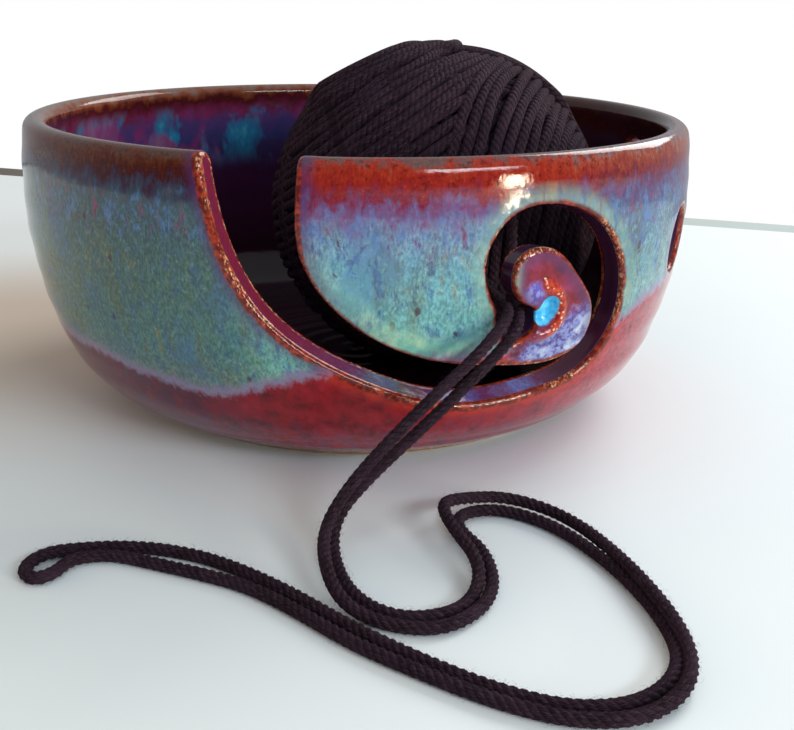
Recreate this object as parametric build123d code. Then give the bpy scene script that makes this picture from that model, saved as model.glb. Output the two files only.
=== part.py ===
from build123d import *
import math
import os

# Yarn bowl with its ball of yarn. Millimetres, +Z up, origin at the centre of the foot
# on the table. The spiral yarn guide is cut through the front wall, which faces -Y.

# Bowl wall
rim_radius = 76.0
bowl_height = 66.0
belly_swell = 1.4
belly_drop = 16.0
belly_height = bowl_height - belly_drop
shoulder_height = 20.0
rim_wall = 5.0
belly_wall = 5.6
shoulder_wall = 6.0
rim_rounding = 0.46 * rim_wall

# Foot and floor
foot_radius = 52.5
foot_height = 1.2
foot_step = 0.7
foot_recess_radius = 45.0
foot_recess_depth = 1.5
foot_edge_rounding = 0.5
floor_radius = 43.0
floor_thickness = 6.0

# Yarn guide: cut along a paper template that is wrapped round the wall and stretches with
# the bowl. The knife points at one spot on the axis, this far below the lip.
template_radius = 76.0
template_height = 66.0
knife_focus_height = bowl_height - 21.0
knife_near = 26.0
knife_far = rim_radius + 24.0
cut_edge_rounding = 1.0
glaze_pool_depth = 2.6

# Needle holes: bearing in degrees from the front, and drop of the centre below the lip
needle_hole_diameter = 14.5
needle_hole_rounding = 1.0
needle_holes = [(65.0, 23.0), (101.0, 15.0)]

# Yarn
yarn_diameter = 2.3
ball_radius = 40.2
ball_crown_radius = 2.2
ball_flat_radius = 13.0
ball_offset = 18.5
running_gap = 0.3


def belly_radius():
    return rim_radius + belly_swell


def upper_arc_radius():
    """Radius of the arc through the lip whose widest point is at belly height."""
    rise = bowl_height - belly_height
    return (belly_swell ** 2 + rise ** 2) / (2 * belly_swell)


def outer_radius_at(height):
    drop = height - belly_height
    arc = upper_arc_radius()
    return belly_radius() - arc + math.sqrt(arc ** 2 - drop ** 2)


def outer_lean_at(height):
    """Angle of the outer wall from the vertical, in radians, below belly height."""
    return math.asin((belly_height - height) / upper_arc_radius())


def shoulder_points():
    """Outer and inner ends of the wall section at the shoulder."""
    lean = outer_lean_at(shoulder_height)
    outer = Vector(outer_radius_at(shoulder_height), shoulder_height)
    inner = outer - Vector(math.cos(lean), -math.sin(lean)) * shoulder_wall
    downward = Vector(-math.sin(lean), -math.cos(lean))
    return outer, inner, downward


def make_bowl_body():
    """Thrown wall, floor and trimmed foot, before anything is cut through the wall."""
    outer, inner, downward = shoulder_points()
    rim_outer = (rim_radius, bowl_height)
    rim_inner = (rim_radius - rim_wall, bowl_height)
    foot_top = (foot_radius + foot_step, foot_height)
    floor_edge = (floor_radius, floor_thickness)
    with BuildSketch(Plane.XZ) as section:
        with BuildLine():
            Polyline(
                (0, floor_thickness),
                (0, foot_recess_depth),
                (foot_recess_radius, foot_recess_depth),
                (foot_recess_radius + foot_recess_depth, 0),
                (foot_radius, 0),
                (foot_radius, foot_height),
                foot_top,
            )
            TangentArc(outer, foot_top, tangent=downward)
            ThreePointArc(outer, (belly_radius(), belly_height), rim_outer)
            Line(rim_outer, rim_inner)
            ThreePointArc(rim_inner, (belly_radius() - belly_wall, belly_height), inner)
            TangentArc(inner, floor_edge, tangent=downward)
            Line(floor_edge, (0, floor_thickness))
        make_face()
        rim_corners = section.vertices().group_by(Axis.Y)[-1]
        fillet(rim_corners, rim_rounding)
        foot_corner = section.vertices().filter_by(lambda v: v.Y < 0.01 and v.X > foot_radius - 0.01)
        fillet(foot_corner, foot_edge_rounding)
    return revolve(section.sketch, Axis.Z)


def on_bowl(arc_length, height):
    """Bearing from the front in radians, and height on the bowl, of one template point."""
    return arc_length / template_radius, height * bowl_height / template_height


def on_knife_plane(template_point, distance):
    """Where the knife through one template point meets an upright plane before the axis."""
    angle, height = on_bowl(*template_point)
    spread = distance / (outer_radius_at(height) * math.cos(angle))
    return (distance * math.tan(angle), knife_focus_height + (height - knife_focus_height) * spread)


def template_face(curves, distance):
    """Closed outline of splines and straight ends, laid on the plane at one distance."""
    plane = Plane(origin=(0, -distance, 0), x_dir=(1, 0, 0), z_dir=(0, -1, 0))
    with BuildSketch(plane) as outline:
        with BuildLine():
            for curve in curves:
                points = [on_knife_plane(point, distance) for point in curve]
                if len(points) == 2:
                    Line(*points)
                else:
                    Spline(*points)
        make_face()
    return outline.sketch.face()


def knife_cut(curves, near, far):
    """Solid that a knife sweeps when it follows the outline and keeps to its focus."""
    return loft([template_face(curves, near), template_face(curves, far)], ruled=True)


# Outline of the guide as template points (arc length, height): it starts left of the mouth
# at the lip, runs under the guide, round the eye and ends back at the mouth's right side.
guide_top = template_height + 8.0
mouth_and_eye = [
    (-30.0, guide_top), (-27.6, 60.0), (-18.2, 37.8), (3.0, 23.2), (22.0, 17.6), (39.0, 18.4), (53.0, 22.6),
    (58.0, 31.5), (56.8, 41.0), (49.8, 51.5), (38.0, 56.8), (27.0, 54.6), (23.0, 46.5), (26.0, 37.6),
]
throat = [(26.0, 37.6), (27.0, 32.8), (30.2, 30.6), (34.2, 32.6)]
throat_end = [(34.2, 32.6), (35.6, 35.2), (33.6, 37.4)]
curl_and_underside = [
    (33.6, 37.4), (29.6, 40.2), (29.4, 47.2), (35.0, 49.2), (44.0, 42.6), (49.4, 34.0), (48.6, 28.6), (43.5, 25.5),
    (30.0, 25.6), (11.0, 29.2), (-3.8, 38.2), (-10.4, 48.5), (-11.0, 62.0), (-10.4, guide_top),
]
mouth_top = [(-10.4, guide_top), (-30.0, guide_top)]
guide_outline = [mouth_and_eye, throat, throat_end, curl_and_underside, mouth_top]

# Shallow hollow between the curl and its tip, where the glaze pools.
pool_crown = [(34.0, 33.2), (38.8, 33.4), (40.2, 36.8), (37.6, 40.6)]
pool_tip_side = [(37.6, 40.6), (36.0, 39.0), (34.0, 37.2)]
pool_mouth = [(34.0, 37.2), (34.0, 33.2)]
pool_outline = [pool_crown, pool_tip_side, pool_mouth]


def crosses_wall(edge):
    """True for the short corner lines that run through the wall from face to face."""
    start, end = edge.position_at(0), edge.position_at(1)
    reach = abs(math.hypot(start.X, start.Y) - math.hypot(end.X, end.Y))
    return edge.length < 2 * shoulder_wall and reach > 0.6 * rim_wall


def soften_cut(body):
    """Rounds the arrises where the guide's cut meets the outer wall, inner wall and lip."""
    cut_edges = body.edges().filter_by(GeomType.BSPLINE)
    return body.fillet(cut_edge_rounding, cut_edges.filter_by(crosses_wall, reverse=True))


def make_pool():
    angle, height = on_bowl(*pool_outline[0][-1])
    floor_radius_here = outer_radius_at(height) - glaze_pool_depth
    return knife_cut(pool_outline, floor_radius_here * math.cos(angle), knife_far)


def wall_frame(degrees, height):
    """Plane on the axis at one height, looking out at a bearing counted from the front."""
    bearing = math.radians(degrees - 90)
    return Plane(origin=(0, 0, height), z_dir=(math.cos(bearing), math.sin(bearing), 0))


def cut_needle_hole(body, degrees, drop):
    """Straight hole through the wall, broken at both mouths."""
    drill_start = belly_radius() - 2 * belly_wall
    drill = wall_frame(degrees, bowl_height - drop).offset(drill_start) * Cylinder(
        needle_hole_diameter / 2, 4 * belly_wall, align=(Align.CENTER, Align.CENTER, Align.MIN)
    )
    before = body.edges()
    body = body - drill
    mouths = [edge for edge in body.edges() - before if edge.length > 0.9 * math.pi * needle_hole_diameter]
    return body.fillet(needle_hole_rounding, mouths)


def make_bowl():
    body = make_bowl_body()
    body -= knife_cut(guide_outline, knife_near, knife_far)
    body = soften_cut(body)
    body -= make_pool()
    for degrees, drop in needle_holes:
        body = cut_needle_hole(body, degrees, drop)
    return body.solid()


# Ball of yarn, resting on the bowl's floor a little to the right of the middle.
def make_ball():
    """Wound ball, slightly flattened: one half section turned about the ball's own axis."""
    side_arc = ball_radius - ball_crown_radius
    drop = math.sqrt(side_arc ** 2 - (ball_flat_radius - ball_crown_radius) ** 2)
    bottom = floor_thickness + running_gap
    middle = bottom + drop
    top = middle + side_arc
    with BuildSketch(Plane.XZ) as section:
        with BuildLine():
            Polyline((ball_crown_radius, top), (0, top), (0, bottom), (ball_flat_radius, bottom))
            ThreePointArc((ball_flat_radius, bottom), (ball_radius, middle), (ball_crown_radius, top))
        make_face()
    ball = revolve(section.sketch, Axis.Z)
    return Pos(ball_offset, 0, 0) * ball.solid()


# The yarn's route: off the ball, out through the throat, along the table to a fold, then back
# beside itself and in again. It is split where it enters and leaves the bowl.
split_out = Vector(25.6, -60.6, 38.1)
split_back = Vector(30.8, -60.3, 36.5)

lead_out_route = [
    (12, -37, 60), (15.5, -42.5, 50), (20, -49, 42.5), (24, -56, 38.5), split_out,
]
outgoing_route = [
    (28, -67.5, 37.5), (27, -75, 37), (21.5, -79.5, 32), (15, -82, 26.5), (7, -84.5, 19), (-2, -88, 11),
    (-7, -94.5, 5), (-6, -107.5, 3.5), (-2, -114.5, 2), (5, -119, 1.2), (14.5, -120, 1.2),
    (22.5, -110.5, 1.2), (22.5, -97, 1.5), (17.5, -88, 2), (19.5, -81.5, 1.5), (27.5, -79.5, 1.2),
    (37, -87, 1.2), (44.5, -102.5, 1.2), (48, -118, 1.2), (47, -130, 1.8), (40, -137, 1.2),
    (30, -138.5, 1.2), (20, -134.5, 1.2), (9, -126.8, 1.2), (-1, -118.5, 1.2), (-12, -107.4, 1.2),
    (-23.5, -97, 1.2), (-36, -93.5, 1.2), (-45, -98, 3.2), (-53, -98.5, 2), (-57.5, -101.5, 1.2),
]
returning_route = [
    (-55, -106, 1.2), (-49.5, -103.5, 1.2), (-43.5, -99.5, 1.2), (-34.5, -101, 1.2), (-22.5, -105.5, 1.2),
    (-10.5, -114.5, 1.2), (-1, -122.5, 1.2), (9.5, -130.5, 1.2), (19.5, -137.5, 1.2), (30, -141.5, 1.2),
    (40.5, -140.5, 1.2), (48, -135.5, 3), (51, -121.5, 3), (48.5, -98, 1.5), (40.5, -83, 2),
    (29, -77, 2.5), (19.5, -80.5, 4), (15, -84.5, 5), (16.5, -92.5, 4.5), (20.5, -102, 3.2),
    (19.5, -109, 1.2), (15, -115, 1.2), (6, -116.5, 1.2), (-1, -110, 1.2), (-4.5, -97, 1.2),
    (-4, -88.5, 4.5), (2.5, -84, 10.5), (11.5, -81.5, 18.5), (19.5, -78.5, 25.5), (28.5, -75, 34),
    (30.5, -67, 35.5),
]
lead_back_route = [
    split_back, (31, -54, 37.5), (31, -49, 43), (31.5, -43, 50.5), (30.5, -36, 60),
]


def towards(start, end, step):
    """The point one step along the way from start to end."""
    start, end = Vector(start), Vector(end)
    return start + (end - start).normalized() * step


def bend_radii(route):
    """Largest bend at each inner point that leaves a tenth of the shorter run straight."""
    radii = []
    for before, point, after in zip(route, route[1:], route[2:]):
        run_in = Vector(point) - Vector(before)
        run_out = Vector(after) - Vector(point)
        half_turn = math.radians(run_in.get_angle(run_out)) / 2
        radii.append(0.45 * min(run_in.length, run_out.length) / math.tan(half_turn))
    return radii


def make_yarn(route):
    """Yarn of plain round section: straight runs joined by tangent arcs."""
    path = FilletPolyline(*route, radius=bend_radii(route))
    section = Plane(origin=path @ 0, z_dir=path % 0) * Circle(yarn_diameter / 2)
    return sweep(section, path=path).solid(), path.length


def report_yarn(name, route, solid, length):
    share = solid.volume / (length * math.pi * yarn_diameter ** 2 / 4)
    tightest = ", ".join(f"{radius:.1f}" for radius in bend_radii(route))
    print(f"{name}: {length:.1f} mm, volume over section x length {share:.4f}, bends {tightest}")


def main():
    os.makedirs("parts", exist_ok=True)
    export_step(make_bowl(), "parts/bowl.step")
    export_step(make_ball(), "parts/yarn_ball.step")
    tail_start = towards(split_out, outgoing_route[0], running_gap)
    tail_end = towards(split_back, returning_route[-1], running_gap)
    routes = {
        "yarn_lead_out": lead_out_route,
        "yarn_tail": [tail_start] + outgoing_route + returning_route + [tail_end],
        "yarn_lead_back": lead_back_route,
    }
    for name, route in routes.items():
        solid, length = make_yarn(route)
        report_yarn(name, route, solid, length)
        export_step(solid, f"parts/{name}.step")


if __name__ == "__main__":
    main()
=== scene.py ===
"""Spiral yarn bowl: thrown stoneware under a running glaze, a wound ball of wool inside it
and the wool's free end lying in a fold on the table in front."""
import math
from types import SimpleNamespace

import bpy
import bmesh
import numpy as np
from bpy.props import FloatProperty, FloatVectorProperty, IntProperty, PointerProperty
from mathutils import Color, Matrix, Vector, kdtree, noise
from mathutils.geometry import delaunay_2d_cdt


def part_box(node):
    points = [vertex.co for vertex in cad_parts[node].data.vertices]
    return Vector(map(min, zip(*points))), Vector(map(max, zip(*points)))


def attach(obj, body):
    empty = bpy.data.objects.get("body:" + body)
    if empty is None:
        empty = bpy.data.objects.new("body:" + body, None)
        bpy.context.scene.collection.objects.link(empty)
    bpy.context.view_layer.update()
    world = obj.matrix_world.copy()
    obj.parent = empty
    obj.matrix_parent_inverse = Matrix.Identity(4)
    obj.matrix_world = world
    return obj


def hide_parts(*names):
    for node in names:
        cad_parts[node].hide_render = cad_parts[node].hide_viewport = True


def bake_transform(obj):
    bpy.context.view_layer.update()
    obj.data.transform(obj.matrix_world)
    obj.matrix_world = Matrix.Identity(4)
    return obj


bl_info = {
    "name": "Spiral yarn bowl",
    "version": (1, 0, 0),
    "blender": (4, 5, 0),
    "location": "View3D > Sidebar > Yarn bowl",
    "description": "Glazed bowl with a spiral yarn guide, and its ball of wool",
    "category": "Add Mesh",
}

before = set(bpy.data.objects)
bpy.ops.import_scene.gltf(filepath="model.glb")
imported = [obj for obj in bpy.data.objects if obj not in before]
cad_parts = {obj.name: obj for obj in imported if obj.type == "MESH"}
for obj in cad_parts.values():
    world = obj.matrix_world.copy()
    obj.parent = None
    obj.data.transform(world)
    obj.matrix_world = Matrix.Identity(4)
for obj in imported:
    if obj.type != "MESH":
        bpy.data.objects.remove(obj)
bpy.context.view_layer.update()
MM = 0.001
FULL_TURN = 2 * math.pi


def paint(red, green, blue):
    """Linear colour of a paint-chip colour given in steps of 0 to 255."""
    return tuple(((c / 255 + 0.055) / 1.055) ** 2.4 if c > 10 else c / 255 / 12.92
                 for c in (red, green, blue))


def ease(value, low, high):
    """0 below low, 1 above high, and a smooth rise between them."""
    t = np.clip((np.asarray(value, float) - low) / (high - low), 0, 1)
    return t * t * (3 - 2 * t)


def linked(name, data):
    """A new object that shows the data in the scene."""
    piece = bpy.data.objects.new(name, data)
    bpy.context.scene.collection.objects.link(piece)
    return piece


# --------------------------------------------------------------------------- settings


def length(title, text, default):
    return FloatProperty(name=title, description=text, default=default, unit="LENGTH",
                         subtype="DISTANCE", precision=5)


def colour(title, text, *rgb):
    return FloatVectorProperty(name=title, description=text, default=paint(*rgb), size=3,
                               min=0, max=1, subtype="COLOR")


def number(title, text, default, least=0.0):
    return FloatProperty(name=title, description=text, default=default, min=least)


class BowlSettings(bpy.types.PropertyGroup):
    rim_wall: length("Lip wall", "Wall thickness at the lip", 0.005)
    belly_wall: length("Belly wall", "Wall thickness at the widest point", 0.0056)
    shoulder_wall: length("Shoulder wall", "Wall thickness just above the foot curve", 0.006)
    arris: length("Arris rounding", "Rounding where the guide and the holes are cut", 0.001)
    pool_depth: length("Pool depth", "How deep the hollow in the curl holds glaze", 0.0018)
    ridge_height: length("Curl line", "How far the line round the pool stands up", 0.0006)
    ring_depth: length("Throwing rings", "Depth of the finger rings left by throwing", 0.00012)
    teal: colour("Teal", "The running glaze where it lies thick", 112, 168, 170)
    crimson: colour("Crimson", "The glaze underneath", 134, 12, 25)
    rust: colour("Rust", "Where both glazes break over an edge", 158, 58, 38)
    pool: colour("Pool blue", "The thick glaze pooled in the curl", 50, 165, 225)
    clay: colour("Clay", "Bare stoneware of the foot", 168, 132, 100)


class YarnSettings(bpy.types.PropertyGroup):
    diameter: length("Yarn thickness", "Across the plied yarn", 0.0023)
    ply_pitch: length("Ply pitch", "Length of yarn in one full twist of its plies", 0.0062)
    fuzz_length: length("Fuzz length", "Length of the loose fibres", 0.0009)
    loft: number("Loft", "How much thicker the yarn lies in the ball", 1.12, 1)
    plies: IntProperty(name="Plies", description="Singles twisted together", default=4, min=2, max=6)
    wool: colour("Wool", "Dark aubergine wool", 38, 26, 34)
    wool_light: colour("Wool light", "Fibre tips where the wool catches light", 80, 60, 72)


class StageSettings(bpy.types.PropertyGroup):
    floor: colour("Table", "Pale table top", 236, 243, 244)
    lens: number("Lens", "Focal length in millimetres", 47.6, 10)
    key_power: number("Key light", "Power of the large soft light in watts", 7.1)
    front_power: number("Front light", "Power of the light on the bowl's front in watts", 3.9)
    window_power: number("Window", "Power of the small bright window in watts", 4.2)
    bounce_power: number("Warm bounce", "Power of the warm light from the left in watts", 1.2)
    room_light: number("Room light", "Strength of the light from all round", 0.58)


# --------------------------------------------------------------------------- node recipes


class Value:
    """A node's output, used in sums and blends as in a formula."""

    def __init__(self, graph, socket):
        self.graph, self.socket = graph, socket

    def __add__(self, other):
        return self.graph.math("ADD", self, other)

    def __sub__(self, other):
        return self.graph.math("SUBTRACT", self, other)

    def __rsub__(self, other):
        return self.graph.math("SUBTRACT", other, self)

    def __mul__(self, other):
        return self.graph.math("MULTIPLY", self, other)

    def __truediv__(self, other):
        return self.graph.math("DIVIDE", self, other)

    def onto(self, base, amount):
        """This much of the value on top of a base value."""
        return self.graph.math("MULTIPLY_ADD", self, amount, base)

    def stray(self, base, amount):
        """A base value that wanders to either side with this noise."""
        return (self - 0.5).onto(base, amount)

    def rise(self, low, high, to_low=0.0, to_high=1.0):
        """Smooth step from one value to another while this one crosses a range."""
        inputs = {"Value": self, "From Min": low, "From Max": high, "To Min": to_low, "To Max": to_high}
        return self.graph.add("MapRange", inputs, interpolation_type="SMOOTHSTEP")

    def under(self, share, tone, blend="MIX"):
        """This colour with a share of another laid over it."""
        return self.graph.mix(share, self, tone, blend)

    def ramp(self, *stops):
        """Colour ramp along this value, from stops of a position and a colour."""
        node = self.graph.node("ValToRGB", {0: self})
        elements = node.color_ramp.elements
        while len(elements) < len(stops):
            elements.new(0.5)
        for element, (position, *tone) in zip(elements, stops):
            element.position = position
            element.color = rgba(tuple(tone) if len(tone) == 3 else tone[0])
        return Value(self.graph, node.outputs[0])


class Graph:
    """Adds linked nodes to one tree, so that a material or a geometry tree reads as a recipe."""

    def __init__(self, tree):
        self.tree = tree

    def feed(self, node, inputs):
        """Set or link a node's inputs."""
        for key, value in inputs.items():
            if isinstance(value, Value):
                value = value.socket
            elif isinstance(value, bpy.types.Node):
                value = value.outputs[0]
            if isinstance(value, bpy.types.NodeSocket):
                self.tree.links.new(value, node.inputs[key])
            else:
                node.inputs[key].default_value = value

    def node(self, kind, inputs=None, **settings):
        """One node; a kind that names no family is a shader node."""
        family = "" if kind.startswith(("Geometry", "Function", "NodeGroup")) else "ShaderNode"
        node = self.tree.nodes.new(family + kind)
        for name, value in settings.items():
            setattr(node, name, value)
        self.feed(node, inputs or {})
        return node

    def add(self, kind, inputs=None, output=0, **settings):
        """One output of a new node."""
        return Value(self, self.node(kind, inputs, **settings).outputs[output])

    def split(self, vector):
        """The three axes of a vector."""
        return [Value(self, axis) for axis in self.node("SeparateXYZ", {0: vector}).outputs]

    def math(self, operation, a, b=0.0, c=0.0):
        return self.add("Math", {0: a, 1: b, 2: c}, operation=operation)

    def vector(self, operation, a, inputs, output=0):
        return self.add("VectorMath", {0: a, **inputs}, output, operation=operation)

    def mix(self, share, a, b, blend="MIX"):
        """Two colours mixed."""
        inputs = {0: share, 6: rgba(a), 7: rgba(b)}
        return self.add("Mix", inputs, 2, data_type="RGBA", blend_type=blend)

    def noise(self, vector, scale, detail=3.0, roughness=0.55, distortion=0.0):
        inputs = {"Vector": vector, "Scale": scale, "Detail": detail, "Roughness": roughness,
                  "Distortion": distortion}
        return self.add("TexNoise", inputs)

    def cells(self, vector, scale, output=0):
        inputs = {"Vector": vector, "Scale": scale, "Randomness": 1.0}
        return self.add("TexVoronoi", inputs, output, feature="F1")

    def squashed(self, vector, height):
        """The vector with its height scaled, so that a pattern on it runs up and down."""
        return self.add("Mapping", {"Vector": vector, "Scale": (1.0, 1.0, height)})

    def attribute(self, name):
        return self.add("Attribute", output="Fac", attribute_name=name)

    def place(self):
        return self.add("TexCoord", output="Object")

    def bump(self, height, strength, distance):
        return self.add("Bump", {"Strength": strength, "Distance": distance, "Height": height})


def rgba(tone):
    """A colour with its alpha: a tuple is a paint-chip colour, and anything else is linear."""
    if isinstance(tone, Value):
        return tone
    return (*(paint(*tone) if isinstance(tone, tuple) else tuple(tone)[:3]), 1.0)


def new_material(name, base, viewport_roughness):
    """A material with a Principled shader, and the recipe that feeds it."""
    material = bpy.data.materials.new(name)
    material.diffuse_color = rgba(base)
    material.roughness = viewport_roughness
    material.use_nodes = True
    material.node_tree.nodes.clear()
    graph = Graph(material.node_tree)
    shader = graph.node("BsdfPrincipled")
    graph.node("OutputMaterial", {"Surface": shader})
    return material, graph, shader


# --------------------------------------------------------------------------- bowl section

# The paper template of the yarn guide, in millimetres: arc length round the wall and height.
TEMPLATE_TOP = 74.0
GUIDE_OUTLINE = [
    [(-30.0, TEMPLATE_TOP), (-27.6, 60.0), (-18.2, 37.8), (3.0, 23.2), (22.0, 17.6), (39.0, 18.4),
     (53.0, 22.6), (58.0, 31.5), (56.8, 41.0), (49.8, 51.5), (38.0, 56.8), (27.0, 54.6), (23.0, 46.5),
     (26.0, 37.6)],
    [(26.0, 37.6), (27.0, 32.8), (30.2, 30.6), (34.2, 32.6)],
    [(34.2, 32.6), (35.6, 35.2), (33.6, 37.4)],
    [(33.6, 37.4), (29.6, 40.2), (29.4, 47.2), (35.0, 49.2), (44.0, 42.6), (49.4, 34.0), (48.6, 28.6),
     (43.5, 25.5), (30.0, 25.6), (11.0, 29.2), (-3.8, 38.2), (-10.4, 48.5), (-11.0, 62.0),
     (-10.4, TEMPLATE_TOP)],
]
# On the same template: the pool and its slant, and the raised line that winds round it.
POOL_CENTRE = (37.3, 36.3)
POOL_HALF_WIDTH = 2.6
POOL_HALF_HEIGHT = 3.6
POOL_SLANT = 0.20
CURL_RIDGE = [(35.8, 42.0), (38.4, 40.2), (39.9, 37.4), (39.8, 34.2), (37.6, 32.2), (34.4, 31.7)]
CURL_CENTRE = (38.5, 37.5)
# Bearing in degrees and height of each needle hole's middle.
NEEDLE_HOLES = [(65.0, 43.0), (101.0, 51.0)]
NEEDLE_HOLE_RADIUS = 7.25
# The point on the bowl's axis that the knife points at all along the guide.
KNIFE_FOCUS_HEIGHT = 45.0

# The foot is left bare below this height and inside this radius, in millimetres.
BARE_HEIGHT = 1.45
BARE_RADIUS = 53.3
# Where the dipped glaze ends, as (bearing in degrees from the front, height in millimetres).
DIP_LINE = [(-180, 24), (-110, 21), (-70, 22), (-47, 22.5), (-35, 20.6), (-24, 19), (-19, 19.8),
            (-13, 22.8), (-8, 25), (0, 28), (30, 29), (41, 28.4), (45, 30), (50, 33), (57, 34), (70, 36),
            (90, 28), (130, 23), (180, 24)]


# The turned section in millimetres; its belly and height come from the frame. The belly is wider
# than the lip by its swell and lies below it by its drop. The lip's rounding is a share of its wall.
BELLY_SWELL = 1.4
BELLY_DROP = 16.0
SHOULDER_HEIGHT = 20.0
LIP_ROUNDING = 0.46
FLOOR_EDGE = (43.0, 6.0)
WALL_MARGIN = 4
FOOT_RING = [(0, 1.5), (45, 1.5), (46.5, 0), (52, 0)]
FOOT_ROUNDING = 0.5
FOOT_STEP = [(52.5, 0.5), (52.5, 1.2), (53.2, 1.2)]


def angle_at(point, centre):
    """Direction of a point as seen from a centre, in degrees."""
    return math.degrees(math.atan2(*(point - centre)[::-1]))


class Section:
    """The bowl's closed section in millimetres, from the middle of its underside, up the outer
    wall, over the lip and down inside to the middle of its floor."""

    def __init__(self, settings):
        low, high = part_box("bowl")
        self.belly_radius = (high.x - low.x) / 2 / MM
        self.height = high.z / MM
        self.rim_radius = self.belly_radius - BELLY_SWELL
        self.belly_height = self.height - BELLY_DROP
        walls = (settings.rim_wall, settings.belly_wall, settings.shoulder_wall)
        self.line = self.trace(*(wall / MM for wall in walls))
        self.s = np.concatenate([[0], np.cumsum(np.linalg.norm(np.diff(self.line, axis=0), axis=1))])
        tangent = np.gradient(self.line, self.s, axis=0)
        tangent /= np.linalg.norm(tangent, axis=1)[:, None]
        self.normal = np.stack([tangent[:, 1], -tangent[:, 0]], axis=1)
        self.slope = (self.line[:, 1] - KNIFE_FOCUS_HEIGHT) / np.maximum(self.line[:, 0], 1)
        self.wall = self.line[:, 0] > FLOOR_EDGE[0] + WALL_MARGIN
        self.crest = int(np.argmax(np.where(self.wall, self.slope, -9)))

    def trace(self, rim_wall, belly_wall, shoulder_wall):
        """The section's points, all on straights and arcs that run smoothly into each other."""
        rise = self.height - self.belly_height
        swell = self.belly_radius - self.rim_radius
        arc = (swell ** 2 + rise ** 2) / (2 * swell)
        centre = np.array([self.belly_radius - arc, self.belly_height])
        lean = math.asin((self.belly_height - SHOULDER_HEIGHT) / arc)
        outer = centre + arc * np.array([math.cos(lean), -math.sin(lean)])
        inner = outer - shoulder_wall * np.array([math.cos(lean), -math.sin(lean)])
        downward = np.array([-math.sin(lean), -math.cos(lean)])
        top_inner = np.array([self.rim_radius - rim_wall, self.height])
        belly_inner = np.array([self.belly_radius - belly_wall, self.belly_height])
        inner_centre, inner_arc = circle_through(top_inner, belly_inner, inner)
        rounding = LIP_ROUNDING * rim_wall
        lip_z = self.height - rounding
        reach = math.sqrt((arc - rounding) ** 2 - (lip_z - centre[1]) ** 2)
        lip_out = np.array([centre[0] + reach, lip_z])
        reach = math.sqrt((inner_arc + rounding) ** 2 - (lip_z - inner_centre[1]) ** 2)
        lip_in = np.array([inner_centre[0] + reach, lip_z])
        lip_angle, inner_angle = angle_at(lip_out, centre), angle_at(lip_in, inner_centre)
        parts = [
            *(straight(a, b) for a, b in zip(FOOT_RING, FOOT_RING[1:])),
            turn((FOOT_RING[-1][0], FOOT_ROUNDING), FOOT_ROUNDING, -90, 0),
            *(straight(a, b) for a, b in zip(FOOT_STEP, FOOT_STEP[1:])),
            tangent_arc(outer, downward, np.array(FOOT_STEP[-1]))[::-1],
            turn(centre, arc, -math.degrees(lean), lip_angle),
            turn(lip_out, rounding, lip_angle, 90),
            turn(lip_in, rounding, 90, 180 + inner_angle),
            turn(inner_centre, inner_arc, inner_angle, angle_at(inner, inner_centre)),
            tangent_arc(inner, downward, np.array(FLOOR_EDGE)),
            straight(FLOOR_EDGE, (0, FLOOR_EDGE[1])),
        ]
        line = np.concatenate(parts)
        keep = np.concatenate([[True], np.linalg.norm(np.diff(line, axis=0), axis=1) > 1e-4])
        return line[keep]

    def at(self, s):
        """Section point and outward normal at a length along the section."""
        point = np.stack([np.interp(s, self.s, self.line[:, i]) for i in (0, 1)], axis=-1)
        normal = np.stack([np.interp(s, self.s, self.normal[:, i]) for i in (0, 1)], axis=-1)
        return point, normal / np.linalg.norm(normal, axis=-1)[..., None]

    def place(self, bearing, s, depth):
        """Points on the bowl, in millimetres, sunk by a depth under the surface."""
        point, normal = self.at(s)
        flat = point - np.asarray(depth, float)[..., None] * normal
        radius, height = flat[..., 0], flat[..., 1]
        return np.stack([radius * np.sin(bearing), -radius * np.cos(bearing), height], axis=-1)

    def face(self, inside):
        """Section points on the outer or inner face of the wall, from below up to the crest."""
        pick = np.arange(self.crest, len(self.s))[::-1] if inside else np.arange(0, self.crest + 1)
        return pick[self.wall[pick]]

    def where(self, slope, inside):
        """Length along the section where a knife ray of that slope meets the outer or inner face."""
        pick = self.face(inside)
        return np.interp(slope, self.slope[pick], self.s[pick])

    def where_height(self, height, inside):
        """Length along the section where the outer or inner face has that height."""
        pick = self.face(inside)
        return np.interp(height, self.line[pick, 1], self.s[pick])


def straight(start, end, step=0.5):
    """Evenly spaced points from one end to the other."""
    start, end = np.array(start, float), np.array(end, float)
    count = max(2, int(np.linalg.norm(end - start) / step) + 1)
    return start + np.linspace(0, 1, count)[:, None] * (end - start)


def turn(centre, radius, start_degrees, end_degrees, step=0.2):
    """Arc about a centre, from one angle to another."""
    sweep = math.radians(end_degrees - start_degrees)
    count = max(3, int(abs(sweep) * radius / step))
    angles = math.radians(start_degrees) + np.linspace(0, sweep, count)
    return np.array(centre) + radius * np.stack([np.cos(angles), np.sin(angles)], axis=1)


def tangent_arc(start, direction, end, step=0.2):
    """Arc that leaves the start along a direction and passes through the end."""
    chord = end - start
    side = np.array([-direction[1], direction[0]])
    radius = chord @ chord / (2 * (side @ chord))
    centre = start + side * radius
    first = math.atan2(*(start - centre)[::-1])
    last = math.atan2(*(end - centre)[::-1])
    sweep = (last - first + math.pi) % (2 * math.pi) - math.pi
    return turn(centre, abs(radius), math.degrees(first), math.degrees(first + sweep), step)


def circle_through(a, b, c):
    """Centre and radius of the circle through three points."""
    system = 2 * np.array([b - a, c - a])
    centre = np.linalg.solve(system, [b @ b - a @ a, c @ c - a @ a])
    return centre, np.linalg.norm(a - centre)


# --------------------------------------------------------------------------- bowl mesh

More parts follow.
